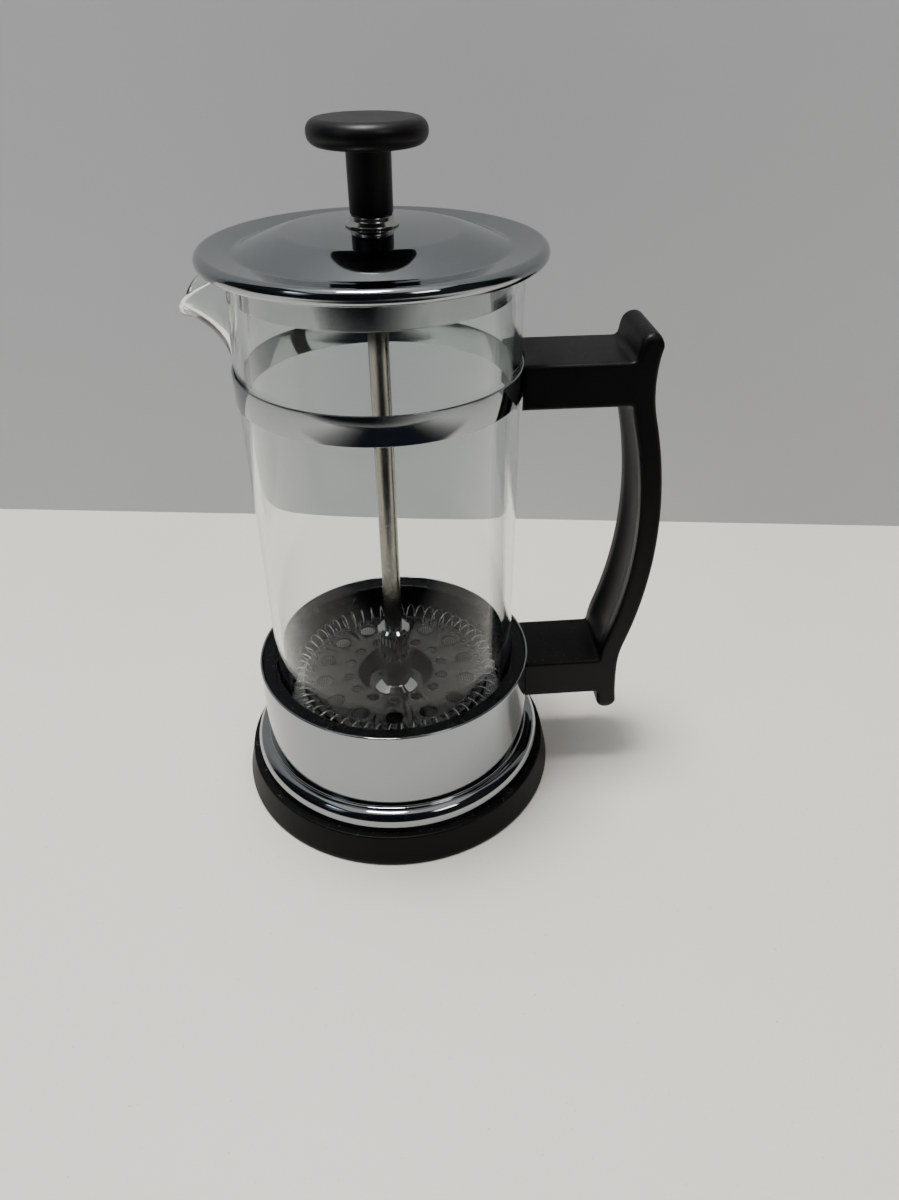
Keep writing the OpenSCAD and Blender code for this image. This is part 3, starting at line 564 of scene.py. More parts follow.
liner = made_piece("liner", *turned(liner_outline, segments=256), liner_black)
boss = turned(eased([
    (SCREW_HOLE_R, liner_low.z), (BOSS_R, liner_low.z, 0.4), (BOSS_R, shelf_low + BOSS_SUNK),
    (SCREW_HOLE_R, shelf_low + BOSS_SUNK)]), segments=40)
bosses = made_piece("liner_bosses", *several(boss, screw_places), liner_black)
for piece in (liner, bosses):
    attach(piece, "frame")
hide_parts("base_liner")

# Screws, base bracket, lid nut, filter nut, cross plate and knob insert: small bought or
# stamped parts that keep their modelled shapes. Zinc-plated, plain drawn steel or brass.
zinc_plate = bright_metal("zinc_plate", (0.50, 0.51, 0.53, 1), 0.24, 0.16, 0.10, 0.000004)
plain_steel = bright_metal("plain_drawn_steel", (0.50, 0.50, 0.49, 1), 0.22, 0.12, 0.12, 0.000004)
turned_brass = bright_metal("turned_brass", (0.66, 0.50, 0.22, 1), 0.20, 0.10, 0.14, 0.000004)
for finish, nodes in ((zinc_plate, ("foot_screws", "strap_screw", "bracket_screw", "base_bracket")),
                      (plain_steel, ("bushing_nut", "filter_nut", "cross_plate")),
                      (turned_brass, ("knob_insert",))):
    for node in nodes:
        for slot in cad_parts[node].material_slots:
            slot.material = finish

# Strap: a bright steel band round the top of the glass. Its two ends turn outwards into
# the upper arm of the handle, where a screw draws them together.
strap_low, strap_high = (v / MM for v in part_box("strap"))
STRAP_SHEET = 0.6
STRAP_EDGE = 0.18
TAB_HALF_GAP = 0.1
TAB_BEND_R = 0.5
TAB_H = 4.6
TAB_Z = 127.4
TAB_STRAIGHT = 6
TAB_NARROWING = 1.2
strap_r = -strap_low.x - STRAP_SHEET / 2
strap_mid = (strap_low.z + strap_high.z) / 2
strap_h = strap_high.z - strap_low.z
tab_y = TAB_HALF_GAP + STRAP_SHEET / 2
bend_y = tab_y + TAB_BEND_R
bend_x = sqrt((strap_r + TAB_BEND_R) ** 2 - bend_y ** 2)
bend_a = degrees(atan2(bend_y, bend_x))
strap_line = [(strap_high.x, tab_y), (strap_high.x - TAB_STRAIGHT, tab_y)]
strap_line += arc(bend_x, bend_y, TAB_BEND_R, 270, 180 + bend_a, 6)
band_line = arc(0, 0, strap_r, bend_a, 360 - bend_a, 240)[1:-1]
strap_line = strap_line + band_line + [(x, -y) for x, y in reversed(strap_line)]


def row_faces(rows, around, joined=False):
    """Four-sided faces between rows of points, each row a ring; joined closes the last on the first."""
    return [(i * around + k, i * around + (k + 1) % around,
             (i + 1) % rows * around + (k + 1) % around, (i + 1) % rows * around + k)
            for i in range(rows if joined else rows - 1) for k in range(around)]


def swept_band(line, sheet, height_at, middle_at, edge):
    """A flat sheet bent along a line seen from above, with rounded long edges."""
    points = []
    corner = [(sin(radians(a)), cos(radians(a))) for a in (0, 30, 60, 90)]
    for i, here in enumerate(line):
        back, on = Vector(line[max(i - 1, 0)]), Vector(line[min(i + 1, len(line) - 1)])
        along = (on - back).normalized()
        side = Vector((along.y, -along.x))
        half, middle = height_at(here[0]) / 2, middle_at(here[0])
        t = sheet / 2
        section = [(t - edge + edge * s, half - edge + edge * c) for s, c in corner]
        section += [(x, -z) for x, z in reversed(section)]
        section += [(-x, z) for x, z in reversed(section)]
        for x, z in section:
            spot = Vector(here) + side * x
            points.append((spot.x * MM, spot.y * MM, (middle + z) * MM))
    n = len(section)
    ends = [tuple(range(n)), tuple(range(len(points) - n, len(points)))]
    return points, row_faces(len(line), n) + ends


def tab_share(x):
    """0 on the band, rising to 1 where it has narrowed into its two tabs."""
    return min(max((x - strap_r) / TAB_NARROWING, 0), 1)


strap = made_piece("clamp_strap", *swept_band(
    strap_line, STRAP_SHEET, lambda x: strap_h + (TAB_H - strap_h) * tab_share(x),
    lambda x: strap_mid + (TAB_Z - strap_mid) * tab_share(x), STRAP_EDGE),
    polished_steel, crease=50)
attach(strap, "frame")
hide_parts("strap")

# Handle: one satin black moulding. Two arms reach from the strap and the base to a bowed
# grip that flares into a horn above and a tail below, with a finger channel down its inside.
grip_low, grip_high = (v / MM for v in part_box("handle"))
GRIP = 5.7
BOW_R = 125
BOW_Z = 83.4
BOW_TOP_A, BOW_LOW_A = 15.59, -16.93
HORN_R = 40
HORN_END_A = 11.3
HEEL_R = 30
HEEL_Z = 38.26
TAIL_R = 110
UPPER_ARM = (121.0, 132.4)
LOWER_ARM = (28.5, 41.0)
UPPER_END_R = 35.76
LOWER_END_R = 40.36
ARM_END_RUN = 9
HANDLE_EDGE = 1.0
CHANNEL_W = 15
CHANNEL_DEPTH = 2.2
CHANNEL_EASE = 0.06
CHANNEL_FADE = 5.0
TIP_CORNER = 2.4
TIP_ZONE = 6
ARM_ZONE_UNDER, ARM_ZONE = 1, 14.5
SIDE_HOLD = 0.35
RUN_STEP = 1.6
END_STEP = 3
TURN_STEPS = 6
SCREW_SEAT_DEPTH = 2.6
BORE_END = 8.8
STRAP_SCREW_X, BRACKET_SCREW_X = 44.2, 48.8
half_w = grip_high.y
bow_cx = grip_high.x - BOW_R
horn_cx = bow_cx + (BOW_R + HORN_R) * cos(radians(BOW_TOP_A))
horn_cz = BOW_Z + (BOW_R + HORN_R) * sin(radians(BOW_TOP_A))
heel_cx = bow_cx + (BOW_R + HEEL_R) * cos(radians(BOW_LOW_A))
tail_cx = heel_cx - HEEL_R + TAIL_R
tail_end_a = degrees(asin((HEEL_Z - grip_low.z - GRIP / 2) / (TAIL_R + GRIP / 2)))


def angle_at(r, cz, z):
    return degrees(asin((z - cz) / r))


inner_horn = HORN_R + GRIP
inner_heel = HEEL_R + GRIP
inner_tail = TAIL_R + GRIP
horn_mid = HORN_R + GRIP / 2
tail_mid = TAIL_R + GRIP / 2
upper_top_a = angle_at(inner_horn, horn_cz, UPPER_ARM[1])
upper_low_a = angle_at(inner_horn, horn_cz, UPPER_ARM[0])
lower_top_a = angle_at(inner_heel, HEEL_Z, LOWER_ARM[1])
lower_low_a = angle_at(inner_tail, HEEL_Z, LOWER_ARM[0])


def straight(x0, z0, x1, z1, pitch=RUN_STEP):
    steps = max(2, round(hypot(x1 - x0, z1 - z0) / pitch))
    return [(x0 + (x1 - x0) * i / steps, z0 + (z1 - z0) * i / steps) for i in range(steps + 1)]


horn_foot = arc(horn_cx, horn_cz, inner_horn, 180 - upper_top_a, 180 - HORN_END_A, 6)
horn_tip = arc(
    horn_cx - horn_mid * cos(radians(HORN_END_A)), horn_cz + horn_mid * sin(radians(HORN_END_A)),
    GRIP / 2, 180 - HORN_END_A, -HORN_END_A, 14)
outer_side = (arc(horn_cx, horn_cz, HORN_R, 180 - HORN_END_A, 180 + BOW_TOP_A, 14)
              + arc(bow_cx, BOW_Z, BOW_R, BOW_TOP_A, BOW_LOW_A, 44)[1:]
              + arc(heel_cx, HEEL_Z, HEEL_R, 180 + BOW_LOW_A, 180, 8)[1:]
              + arc(tail_cx, HEEL_Z, TAIL_R, 180, 180 + tail_end_a, 8)[1:])
tail_tip = arc(
    tail_cx - tail_mid * cos(radians(tail_end_a)), HEEL_Z - tail_mid * sin(radians(tail_end_a)),
    GRIP / 2, tail_end_a, tail_end_a - 180, 14)
tail_back = arc(tail_cx, HEEL_Z, inner_tail, 180 + tail_end_a, 180 - lower_low_a, 5)
inner_side = (arc(heel_cx, HEEL_Z, inner_heel, 180 - lower_top_a, 180 + BOW_LOW_A, 6)
              + arc(bow_cx, BOW_Z, BOW_R - GRIP, BOW_LOW_A, BOW_TOP_A, 44)[1:]
              + arc(horn_cx, horn_cz, inner_horn, 180 + BOW_TOP_A, 180 - upper_low_a, 5)[1:])
# Each run goes on to the next, and its number is the millimetres that their corner eases.
handle_runs = [
    (straight(UPPER_END_R, UPPER_ARM[1], horn_foot[0][0], UPPER_ARM[1]), 1.5), (horn_foot, 0),
    (horn_tip, 0), (outer_side, 0), (tail_tip, 0), (tail_back, 1.0),
    (straight(tail_back[-1][0], LOWER_ARM[0], LOWER_END_R, LOWER_ARM[0]), 0),
    (straight(LOWER_END_R, LOWER_ARM[0], LOWER_END_R, LOWER_ARM[1], END_STEP), 0),
    (straight(LOWER_END_R, LOWER_ARM[1], inner_side[0][0], LOWER_ARM[1]), 1.0), (inner_side, 1.0),
    (straight(inner_side[-1][0], UPPER_ARM[0], UPPER_END_R, UPPER_ARM[0]), 0),
    (straight(UPPER_END_R, UPPER_ARM[0], UPPER_END_R, UPPER_ARM[1], END_STEP), 0)]


def trimmed(run, length):
    """A run without its first length millimetres."""
    run = [Vector(p) for p in run]
    while len(run) > 2 and (run[1] - run[0]).length <= length:
        length -= (run[1] - run[0]).length
        run.pop(0)
    run[0] = run[0] + (run[1] - run[0]).normalized() * length
    return run


side_line, channel_part = [], []
for i, (run, turn) in enumerate(handle_runs):
    before, here = handle_runs[i - 1][1], [Vector(p) for p in run]
    if before:
        here = trimmed(here, before)
    if turn:
        here = trimmed(here[::-1], turn)[::-1]
    part = [run is inner_side] * len(here)
    if turn:
        onward = trimmed(handle_runs[(i + 1) % len(handle_runs)][0], turn)[0]
        corner = Vector(run[-1])
        start = here[-1]
        for k in range(1, TURN_STEPS):
            s = k / TURN_STEPS
            here.append(start * (1 - s) ** 2 + corner * 2 * s * (1 - s) + onward * s * s)
        part += [False] * (TURN_STEPS - 1)
    side_line += here if turn else here[:-1]
    channel_part += part if turn else part[:-1]

side_line = np.array([tuple(p) for p in side_line])
channel_part = np.array(channel_part)
step_on = np.roll(side_line, -1, 0) - side_line
step_back = side_line - np.roll(side_line, 1, 0)
length_on = np.hypot(*step_on.T)[:, None]
length_back = np.hypot(*step_back.T)[:, None]
heading = step_on / length_on + step_back / length_back
heading /= np.hypot(*heading.T)[:, None]
outward = np.stack([-heading[:, 1], heading[:, 0]], 1)
at_end = ((np.abs(side_line[:, 0] - UPPER_END_R) < TINY)
          | (np.abs(side_line[:, 0] - LOWER_END_R) < TINY))
for i in np.nonzero(at_end)[0]:
    low, high = UPPER_ARM if side_line[i, 1] > BOW_Z else LOWER_ARM
    outward[i] = (0, (side_line[i, 1] - (low + high) / 2) / ((high - low) / 2))
inner_z = side_line[channel_part][:, 1]
from_ends = np.minimum(side_line[:, 1] - inner_z.min(), inner_z.max() - side_line[:, 1])
channel_fade = np.where(channel_part, np.clip(from_ends / CHANNEL_FADE, 0, 1), 0)
channel_fade = channel_fade ** 2 * (3 - 2 * channel_fade)

round_steps = [(HANDLE_EDGE * sin(radians(a)), HANDLE_EDGE * (1 - cos(radians(a))))
               for a in range(90, 0, -15)]
# The flat of each side is divided more closely where the channel's rim runs.
flat_y = [0, 1.3, 2.6, 3.9, 5.1, 6.2, 7.0, 7.5, 8.0, 8.6, 9.3]
half_columns = ([(half_w, HANDLE_EDGE + SIDE_HOLD)]
                + [(half_w - HANDLE_EDGE + s, d) for s, d in round_steps]
                + [(half_w - HANDLE_EDGE, 0)] + [(y, 0) for y in reversed(flat_y)])
columns = half_columns + [(-y, d) for y, d in reversed(half_columns[:-1])]
channel_r = (CHANNEL_W ** 2 / 4 + CHANNEL_DEPTH ** 2) / (2 * CHANNEL_DEPTH)


def channel_cut(y):
    """Depth of the finger channel at a distance from the middle, with its rim eased."""
    plain = sqrt(max(channel_r ** 2 - y * y, 0)) - (channel_r - CHANNEL_DEPTH)
    return (plain + sqrt(plain * plain + CHANNEL_EASE)) / 2 - CHANNEL_EASE / 2


def tip_drop(y):
    """How far the horn and the tail stop short at a distance from the middle, for round corners."""
    past = max(abs(y) - (half_w - TIP_CORNER), 0)
    return TIP_CORNER - sqrt(max(TIP_CORNER ** 2 - past ** 2, 0))


# The side line is repeated across the handle, drawn in by its edges and by the channel, and
# the ends of the arms curve round the glass and the shell.
grid = []
for y, inset in columns:
    cut = inset * outward + (channel_cut(y) * channel_fade)[:, None] * outward
    x, z = (side_line - cut).T
    for end_r, arm in ((UPPER_END_R, UPPER_ARM), (LOWER_END_R, LOWER_ARM)):
        low = arm[0] - ARM_ZONE_UNDER
        mine = (z > low) & (z < low + ARM_ZONE) & (x < end_r + ARM_END_RUN)
        share = np.clip((end_r + ARM_END_RUN - x) / ARM_END_RUN, 0, 1)
        x = np.where(mine, x + share * (sqrt(end_r ** 2 - y * y) - end_r), x)
    top_share = np.clip((z - (grip_high.z - TIP_ZONE)) / TIP_ZONE, 0, 1)
    low_share = np.clip((grip_low.z + TIP_ZONE - z) / TIP_ZONE, 0, 1)
    z = z - tip_drop(y) * top_share + tip_drop(y) * low_share
    grid.append(np.stack([x, np.full_like(x, y), z], 1))
grid = np.array(grid) * MM
rows, around = grid.shape[:2]
handle_faces = row_faces(rows, around)
handle_faces += [tuple(range(around)), tuple(range((rows - 1) * around, rows * around))]
grip_black = black_plastic("grip_black_plastic", 0.42, 0.12, 2600.0, 0.00003, 0.10, 0.15)
handle = made_piece("grip", grid.reshape(-1, 3), handle_faces, grip_black, crease=45)
bore_top = half_w + DRILL_PAST
bore = turned([
    (0, -BORE_END), (SCREW_HOLE_R, -BORE_END), (SCREW_HOLE_R, half_w - SCREW_SEAT_DEPTH),
    (SCREW_SEAT_R, half_w - SCREW_SEAT_DEPTH), (SCREW_SEAT_R, bore_top), (0, bore_top)],
    segments=40, closed=False)
bracket_low, bracket_high = (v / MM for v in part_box("base_bracket"))
bracket_z = (bracket_low.z + bracket_high.z) / 2
across_y = Matrix.Rotation(radians(-90), 4, "X")
cut_away(handle, *several(bore, [
    Matrix.Translation((x * MM, 0, z * MM)) @ across_y
    for x, z in ((STRAP_SCREW_X, TAB_Z), (BRACKET_SCREW_X, bracket_z))]), crease=45)
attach(handle, "frame")
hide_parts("handle")

# Beaker: a straight cylinder of clear heat-proof glass with a rounded base and a spout
# drawn out of its fire-polished rim. It stands loose on the liner's shelf, inside the strap.
glass_low, glass_high = (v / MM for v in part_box("glass_beaker"))
GLASS_WALL = 2.0
GLASS_CORNER = 5.0
SPOUT_REACH = 10.3
SPOUT_HALF_W = 12.5
SPOUT_TIP_HALF_W = 2.9
SPOUT_DROP = 8.9
SPOUT_ROOT = 23.0
SPOUT_RISE = 11.3
TIP_SHARE = 0.13
TIP_ROUNDING = 1.15
SPOUT_SPAN = 30
FLOOR_RINGS = (8, 16, 24)
FINE_TOP = 36
EVEN_ROUNDS = 26
EVEN_SHARE = 0.6
EVEN_SPAN = SPOUT_SPAN + 2
EVEN_DEPTH = 30
EVEN_FADE = 6
glass_r = glass_high.x - GLASS_WALL / 2
rim_z = glass_high.z - GLASS_WALL / 2
floor_z = glass_low.z + GLASS_WALL / 2
spout_columns = np.linspace(-SPOUT_SPAN, SPOUT_SPAN, 97)
plain_columns = np.linspace(SPOUT_SPAN, 360 - SPOUT_SPAN, 201)[1:-1]
turn = np.radians(np.concatenate([spout_columns, plain_columns])) + pi
heights = np.concatenate([
    np.linspace(floor_z + GLASS_CORNER + 0.4, rim_z - FINE_TOP, 14),
    np.linspace(rim_z - FINE_TOP + 1, rim_z, 65)])
base_rows = [(r, floor_z) for r in (*FLOOR_RINGS, glass_r - GLASS_CORNER - 0.5)]
base_rows += arc(glass_r - GLASS_CORNER, floor_z + GLASS_CORNER, GLASS_CORNER, -90, 0, 12)


def glass_ring(r, z):
    return np.stack([r * np.cos(turn), r * np.sin(turn), np.full_like(turn, z)], 1)


wall_rows = [glass_ring(r, z) for r, z in base_rows]


def spout_point(f, t):
    """A point on the spout: f degrees out from the wall, t degrees up from its lowest line."""
    f, t = radians(f), radians(t)
    out_lip, out_keel = SPOUT_REACH * sin(f), SPOUT_REACH * (1 - cos(f))
    lip_z = rim_z - SPOUT_DROP * f / (pi / 2)
    keel_z = rim_z - SPOUT_ROOT + SPOUT_RISE * sin(f)
    half = SPOUT_TIP_HALF_W + (SPOUT_HALF_W - SPOUT_TIP_HALF_W) * cos(f)
    lay = cos(t)
    y = half * sin(t)
    bulge = (sqrt(max(glass_r ** 2 - y * y, 0)) - glass_r) * cos(f)
    x = -glass_r - out_lip - (out_keel - out_lip) * lay - bulge
    return x, y, lip_z + (keel_z - lip_z) * lay


# Where the wall runs inside the spout's outline, its points move out onto the spout.
for z in heights:
    row = glass_ring(glass_r, z)
    for k in range(len(spout_columns)):
        share = -row[k][1] / SPOUT_HALF_W
        side = 1 if share < 0 else -1
        share = abs(share)
        if share >= 1:
            continue
        boundary = SPOUT_ROOT * sqrt(1 - share * share)
        if rim_z - z >= boundary:
            continue
        t = (rim_z - z) / boundary
        lip_share = max(share - TIP_SHARE, 0) / (1 - TIP_SHARE)
        f_rim = 90 * (1 - lip_share) ** TIP_ROUNDING
        t_rim = 90 * min(share / TIP_SHARE, 1)
        t_root = degrees(asin(share))
        row[k] = spout_point(f_rim * (1 - t), side * (t_rim + (t_root - t_rim) * t))
    wall_rows.append(row)
middle = np.array(wall_rows)
cols = len(turn)
# The bend between the wall and the spout is evened out in many small rounds.
near_spout = np.clip((EVEN_SPAN - np.abs(np.degrees(turn) - 180)) / EVEN_FADE, 0, 1)
for _ in range(EVEN_ROUNDS):
    left, right = np.roll(middle, 1, 1), np.roll(middle, -1, 1)
    evened = middle.copy()
    evened[1:-1] = (middle[:-2] + middle[2:] + left[1:-1] + right[1:-1]) / 4
    evened[-1] = (left[-1] + right[-1] + 2 * middle[-1]) / 4
    weight = (near_spout[None, :] * (middle[:, :, 2] > rim_z - EVEN_DEPTH))[..., None] * EVEN_SHARE
    middle += weight * (evened - middle)
around_way = np.roll(middle, -1, 1) - np.roll(middle, 1, 1)
up_way = np.empty_like(middle)
up_way[1:-1] = middle[2:] - middle[:-2]
up_way[0] = middle[1] - middle[0]
up_way[-1] = middle[-1] - middle[-2]
normal = np.cross(around_way, up_way)
normal /= np.linalg.norm(normal, axis=2)[..., None]
up_way /= np.linalg.norm(up_way, axis=2)[..., None]
# The glass lies half its wall to either side of this middle surface, under a round rim.
half_wall = GLASS_WALL / 2
outer = middle + normal * half_wall
inner = middle - normal * half_wall
rim_round = [middle[-1] + half_wall * (normal[-1] * cos(radians(a)) + up_way[-1] * sin(radians(a)))
             for a in range(15, 180, 15)]
glass_rows = np.concatenate([outer, rim_round, inner[::-1]]) * MM
count = len(glass_rows)
glass_points = [tuple(p) for p in glass_rows.reshape(-1, 3)]
glass_faces = row_faces(count, cols)
glass_points += [(0, 0, glass_low.z * MM), (0, 0, (glass_low.z + GLASS_WALL) * MM)]
for start, centre in ((0, count * cols), ((count - 1) * cols, count * cols + 1)):
    glass_faces += [(start + k, start + (k + 1) % cols, centre) for k in range(cols)]

clear_glass, tree, surface = new_finish("clear_heatproof_glass")
place = own_place(tree)
sway = noise(tree, place, 45.0, 1.0)
film = noise(tree, place, 60.0, 3.0)
hazy = add(tree, "ShaderNodeMapRange", {
    "Value": film, "From Min": 0.5, "From Max": 0.8, "To Min": 0.0, "To Max": 0.003})
glass_shader = add(tree, "ShaderNodeBsdfPrincipled", {
    "Base Color": (0.925, 0.95, 0.94, 1), "Roughness": hazy.outputs[0], "IOR": 1.474,
    "Specular Tint": (0.14, 0.145, 0.15, 1), "Transmission Weight": 1.0,
    "Normal": bumps(tree, sway, 0.2, 0.00005)})
lamp_way = add(tree, "ShaderNodeLightPath").outputs["Is Shadow Ray"]
lit_through = add(tree, "ShaderNodeBsdfTransparent", {"Color": (0.93, 0.95, 0.945, 1)})
either(tree, surface, lamp_way, glass_shader, lit_through)
beaker = made_piece("beaker", glass_points, glass_faces, clear_glass, crease=60)
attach(beaker, "beaker")
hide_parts("glass_beaker")

# Lid cover: a thin disc of bright steel, flat in the middle, that slopes down to a shallow
# groove and a rim rolled over and under all round. The guide clamps it to the pan.
lid_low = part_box("lid_cover")[0] / MM
LID_SHEET = 0.7
LID_R = 40.4
RIM_ROLL = 1.8
ROLL_START_A = 96
LID_HOLE_R = 4.16
GROOVE_R = 32.3
# Degrees by which the lid falls outwards at each radius; past the groove it rises again.
LID_FALLS = ((LID_HOLE_R, 1.0), (12.0, 3.0), (20.0, 3.5), (21.6, 14.0), (25.0, 18.5), (31.0, 21.8),
             (GROOVE_R, -8.0), (38.4, -4.0))
LID_PITCH = 0.3
GUIDE_H = 2.2
dome_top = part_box("lid_bushing")[1].z / MM - GUIDE_H
roll_cx = LID_R - RIM_ROLL
roll_cz = lid_low.z + RIM_ROLL
roll_start = arc(roll_cx, roll_cz, RIM_ROLL, ROLL_START_A, ROLL_START_A, 1)[0]
skin_r = np.linspace(LID_HOLE_R, roll_start[0], round(roll_start[0] / LID_PITCH))
fall = np.tan(np.radians(np.interp(skin_r, *zip(*LID_FALLS))))
drops = np.cumsum((fall[1:] + fall[:-1]) / 2 * np.diff(skin_r))
skin_z = dome_top - np.concatenate([[0], drops])
past_groove = np.clip((skin_r - GROOVE_R) / (roll_start[0] - GROOVE_R), 0, 1)
skin_z += (roll_start[1] - skin_z[-1]) * past_groove ** 2
lid_outline = []
for inset in (0, LID_SHEET):
    skin = [*zip(skin_r, skin_z - inset)][:-1]
    skin += arc(roll_cx, roll_cz, RIM_ROLL - inset, ROLL_START_A, -90, 30)
    lid_outline += skin[::-1] if inset else skin
lid_cover = made_piece("lid_top", *turned(lid_outline, segments=224), polished_steel, crease=40)
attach(lid_cover, "lid")
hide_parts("lid_cover")

# Lid pan: a pressed steel pan under the cover, with a flat rim that rests on the glass,
# a skirt that drops inside it and a raised cup that meets the cover in the middle.
pan_low, pan_high = (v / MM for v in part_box("lid_base"))
SKIRT_R = 32.3
PAN_Z = 156.7
CUP_R = 8.0
CUP_SLOPE = 4
PAN_GAP = 0.15
cup_z = dome_top - LID_SHEET - PAN_GAP
pan_outline = eased([
    (LID_HOLE_R, cup_z), (CUP_R, cup_z, 1.0), (CUP_R + CUP_SLOPE, PAN_Z + LID_SHEET, 1.0),
    (pan_high.x, PAN_Z + LID_SHEET - PAN_GAP, 0.1), (pan_high.x, PAN_Z, 0.1), (SKIRT_R, PAN_Z, 0.5),
    (SKIRT_R, pan_low.z, 0.3), (SKIRT_R - LID_SHEET, pan_low.z, 0.3), (SKIRT_R - LID_SHEET, PAN_Z, 0.8),
    (CUP_R + CUP_SLOPE - LID_SHEET, PAN_Z, 1.0), (CUP_R - LID_SHEET, cup_z - LID_SHEET, 1.0),
    (LID_HOLE_R, cup_z - LID_SHEET)])
lid_pan = made_piece("lid_pan", *turned(pan_outline, segments=256), polished_steel, crease=40)
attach(lid_pan, "lid")
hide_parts("lid_base")

# Lid guide: a turned steel bush that the rod slides in. Its threaded tube goes down
# through the cover and the pan, and a nut below holds the three together.
guide_low, guide_high = (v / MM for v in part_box("lid_bushing"))
GUIDE_TUBE_R = 4.1
GUIDE_EDGE_H = 0.35
GUIDE_SHOULDER, GUIDE_SHOULDER_H = 1.05, 1.3
GUIDE_TOP_IN = 1.15
ROD_BORE_R = 2.66
guide_r = guide_high.x
guide_z = guide_high.z - GUIDE_H
guide_outline = eased([
    (ROD_BORE_R, guide_low.z, 0.2), (GUIDE_TUBE_R, guide_low.z, 0.3), (GUIDE_TUBE_R, guide_z, 0),
    (guide_r, guide_z, 0.08), (guide_r, guide_z + GUIDE_EDGE_H, 0.25),
    (guide_r - GUIDE_SHOULDER, guide_z + GUIDE_SHOULDER_H, 0.5),
    (guide_r - GUIDE_TOP_IN, guide_high.z, 0.25), (ROD_BORE_R, guide_high.z, 0.2)])
guide_steel = bright_metal("satin_turned_steel", (0.47, 0.46, 0.445, 1), 0.16, 0.08, 0.08)
guide = made_piece("lid_guide", *turned(guide_outline, segments=96), guide_steel, crease=40)
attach(guide, "lid")
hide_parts("lid_bushing")

# Knob: a flat round head on a slim stem, one satin black moulding with a brass insert
# inside the stem that screws onto the top of the rod.
knob_low, knob_high = (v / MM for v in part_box("knob"))
insert_low, insert_high = (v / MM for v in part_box("knob_insert"))
STEM_R = 5.0
STEM_TAPER = 0.1
STEM_FLARE, STEM_FLARE_H = 1.6, 0.3
KNOB_H = 5.4
KNOB_EDGE = 2.6
INSERT_BORE_R = 3.75
INSERT_GAP = 0.05
knob_r = knob_high.x
knob_z = knob_high.z - KNOB_H
pocket_low, pocket_high = insert_low.z - INSERT_GAP, insert_high.z + INSERT_GAP
knob_outline = eased([
    (0, pocket_high), (INSERT_BORE_R, pocket_high), (INSERT_BORE_R, pocket_low),
    (ROD_BORE_R, pocket_low), (ROD_BORE_R, knob_low.z, 0.2), (STEM_R - STEM_TAPER, knob_low.z, 0.2),
    (STEM_R, knob_z - STEM_FLARE_H, 0.8), (STEM_R + STEM_FLARE, knob_z, 0.9),
    (knob_r, knob_z, KNOB_EDGE), (knob_r, knob_high.z, KNOB_EDGE), (0, knob_high.z)], closed=False)
knob = made_piece("knob_head", *turned(knob_outline, segments=160, closed=False), satin_black)
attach(knob, "plunger")
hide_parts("knob")

# Rod: a plain drawn steel rod from the knob's insert, through the lid guide and the
# sleeve, to the nut under the filter.
rod_low, rod_high = (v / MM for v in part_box("plunger_rod"))
ROD_DARK = (0.20, 0.19, 0.175, 1)
ROD_PALE = (0.34, 0.325, 0.295, 1)
rod_steel, tree, surface = new_finish("drawn_rod_steel")
marks = grouped(tree, marks_group, Roughness=0.20, Smear=0.10, Scratch=0.10)
drawn = add(tree, "ShaderNodeMapping", {"Vector": own_place(tree), "Scale": (2600.0, 2600.0, 120.0)})
lines = noise(tree, drawn.outputs[0], 1.0, 3.0)
coat(tree, surface, {
    "Base Color": blended(tree, lines, ROD_DARK, ROD_PALE), "Metallic": 1.0,
    "Roughness": marks["Roughness"], "Normal": bumps(tree, lines, 0.3, 0.00001)})
rod_r = rod_high.x
rod_outline = eased([
    (0, rod_low.z), (rod_r, rod_low.z, 0.5), (rod_r, rod_high.z, 0.4), (0, rod_high.z)], closed=False)
rod = made_piece("rod", *turned(rod_outline, segments=96, closed=False), rod_steel)
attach(rod, "plunger")
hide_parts("plunger_rod")

# Sleeve: a polished turned piece round the foot of the rod that presses the plate down,
# with a chamfered top, a groove and a flared foot.
sleeve_low, sleeve_high = (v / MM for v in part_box("rod_hub"))
SLEEVE_R = 4.8
SLEEVE_CHAMFER = 0.9
NECK_R = 4.0
NECK_GROOVE = 0.3
NECK_GROOVE_Z = 5.6
NECK_GROOVE_LOW, NECK_GROOVE_TOP, NECK_END = 0.05, 0.5, 0.95
FLARE_EDGE_Z, FLARE_Z = 0.6, 2.0
flare_r = sleeve_high.x
groove_r = NECK_R - NECK_GROOVE
groove_z = sleeve_low.z + NECK_GROOVE_Z
sleeve_outline = eased([
    (ROD_BORE_R, sleeve_low.z), (flare_r, sleeve_low.z, 0.15),
    (flare_r, sleeve_low.z + FLARE_EDGE_Z, 0.25), (NECK_R, sleeve_low.z + FLARE_Z, 0.6),
    (NECK_R, groove_z, 0.1), (groove_r, groove_z + NECK_GROOVE_LOW, 0.1),
    (groove_r, groove_z + NECK_GROOVE_TOP, 0.1), (SLEEVE_R, groove_z + NECK_END, 0.25),
    (SLEEVE_R, sleeve_high.z - SLEEVE_CHAMFER, 0.25),
    (SLEEVE_R - SLEEVE_CHAMFER, sleeve_high.z, 0.15), (ROD_BORE_R, sleeve_high.z)])
mirror_steel = bright_metal("mirror_turned_steel", (0.60, 0.60, 0.59, 1), 0.03, 0.03, 0.04)
sleeve = made_piece("sleeve", *turned(sleeve_outline, segments=96), mirror_steel)
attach(sleeve, "plunger")
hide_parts("rod_hub")

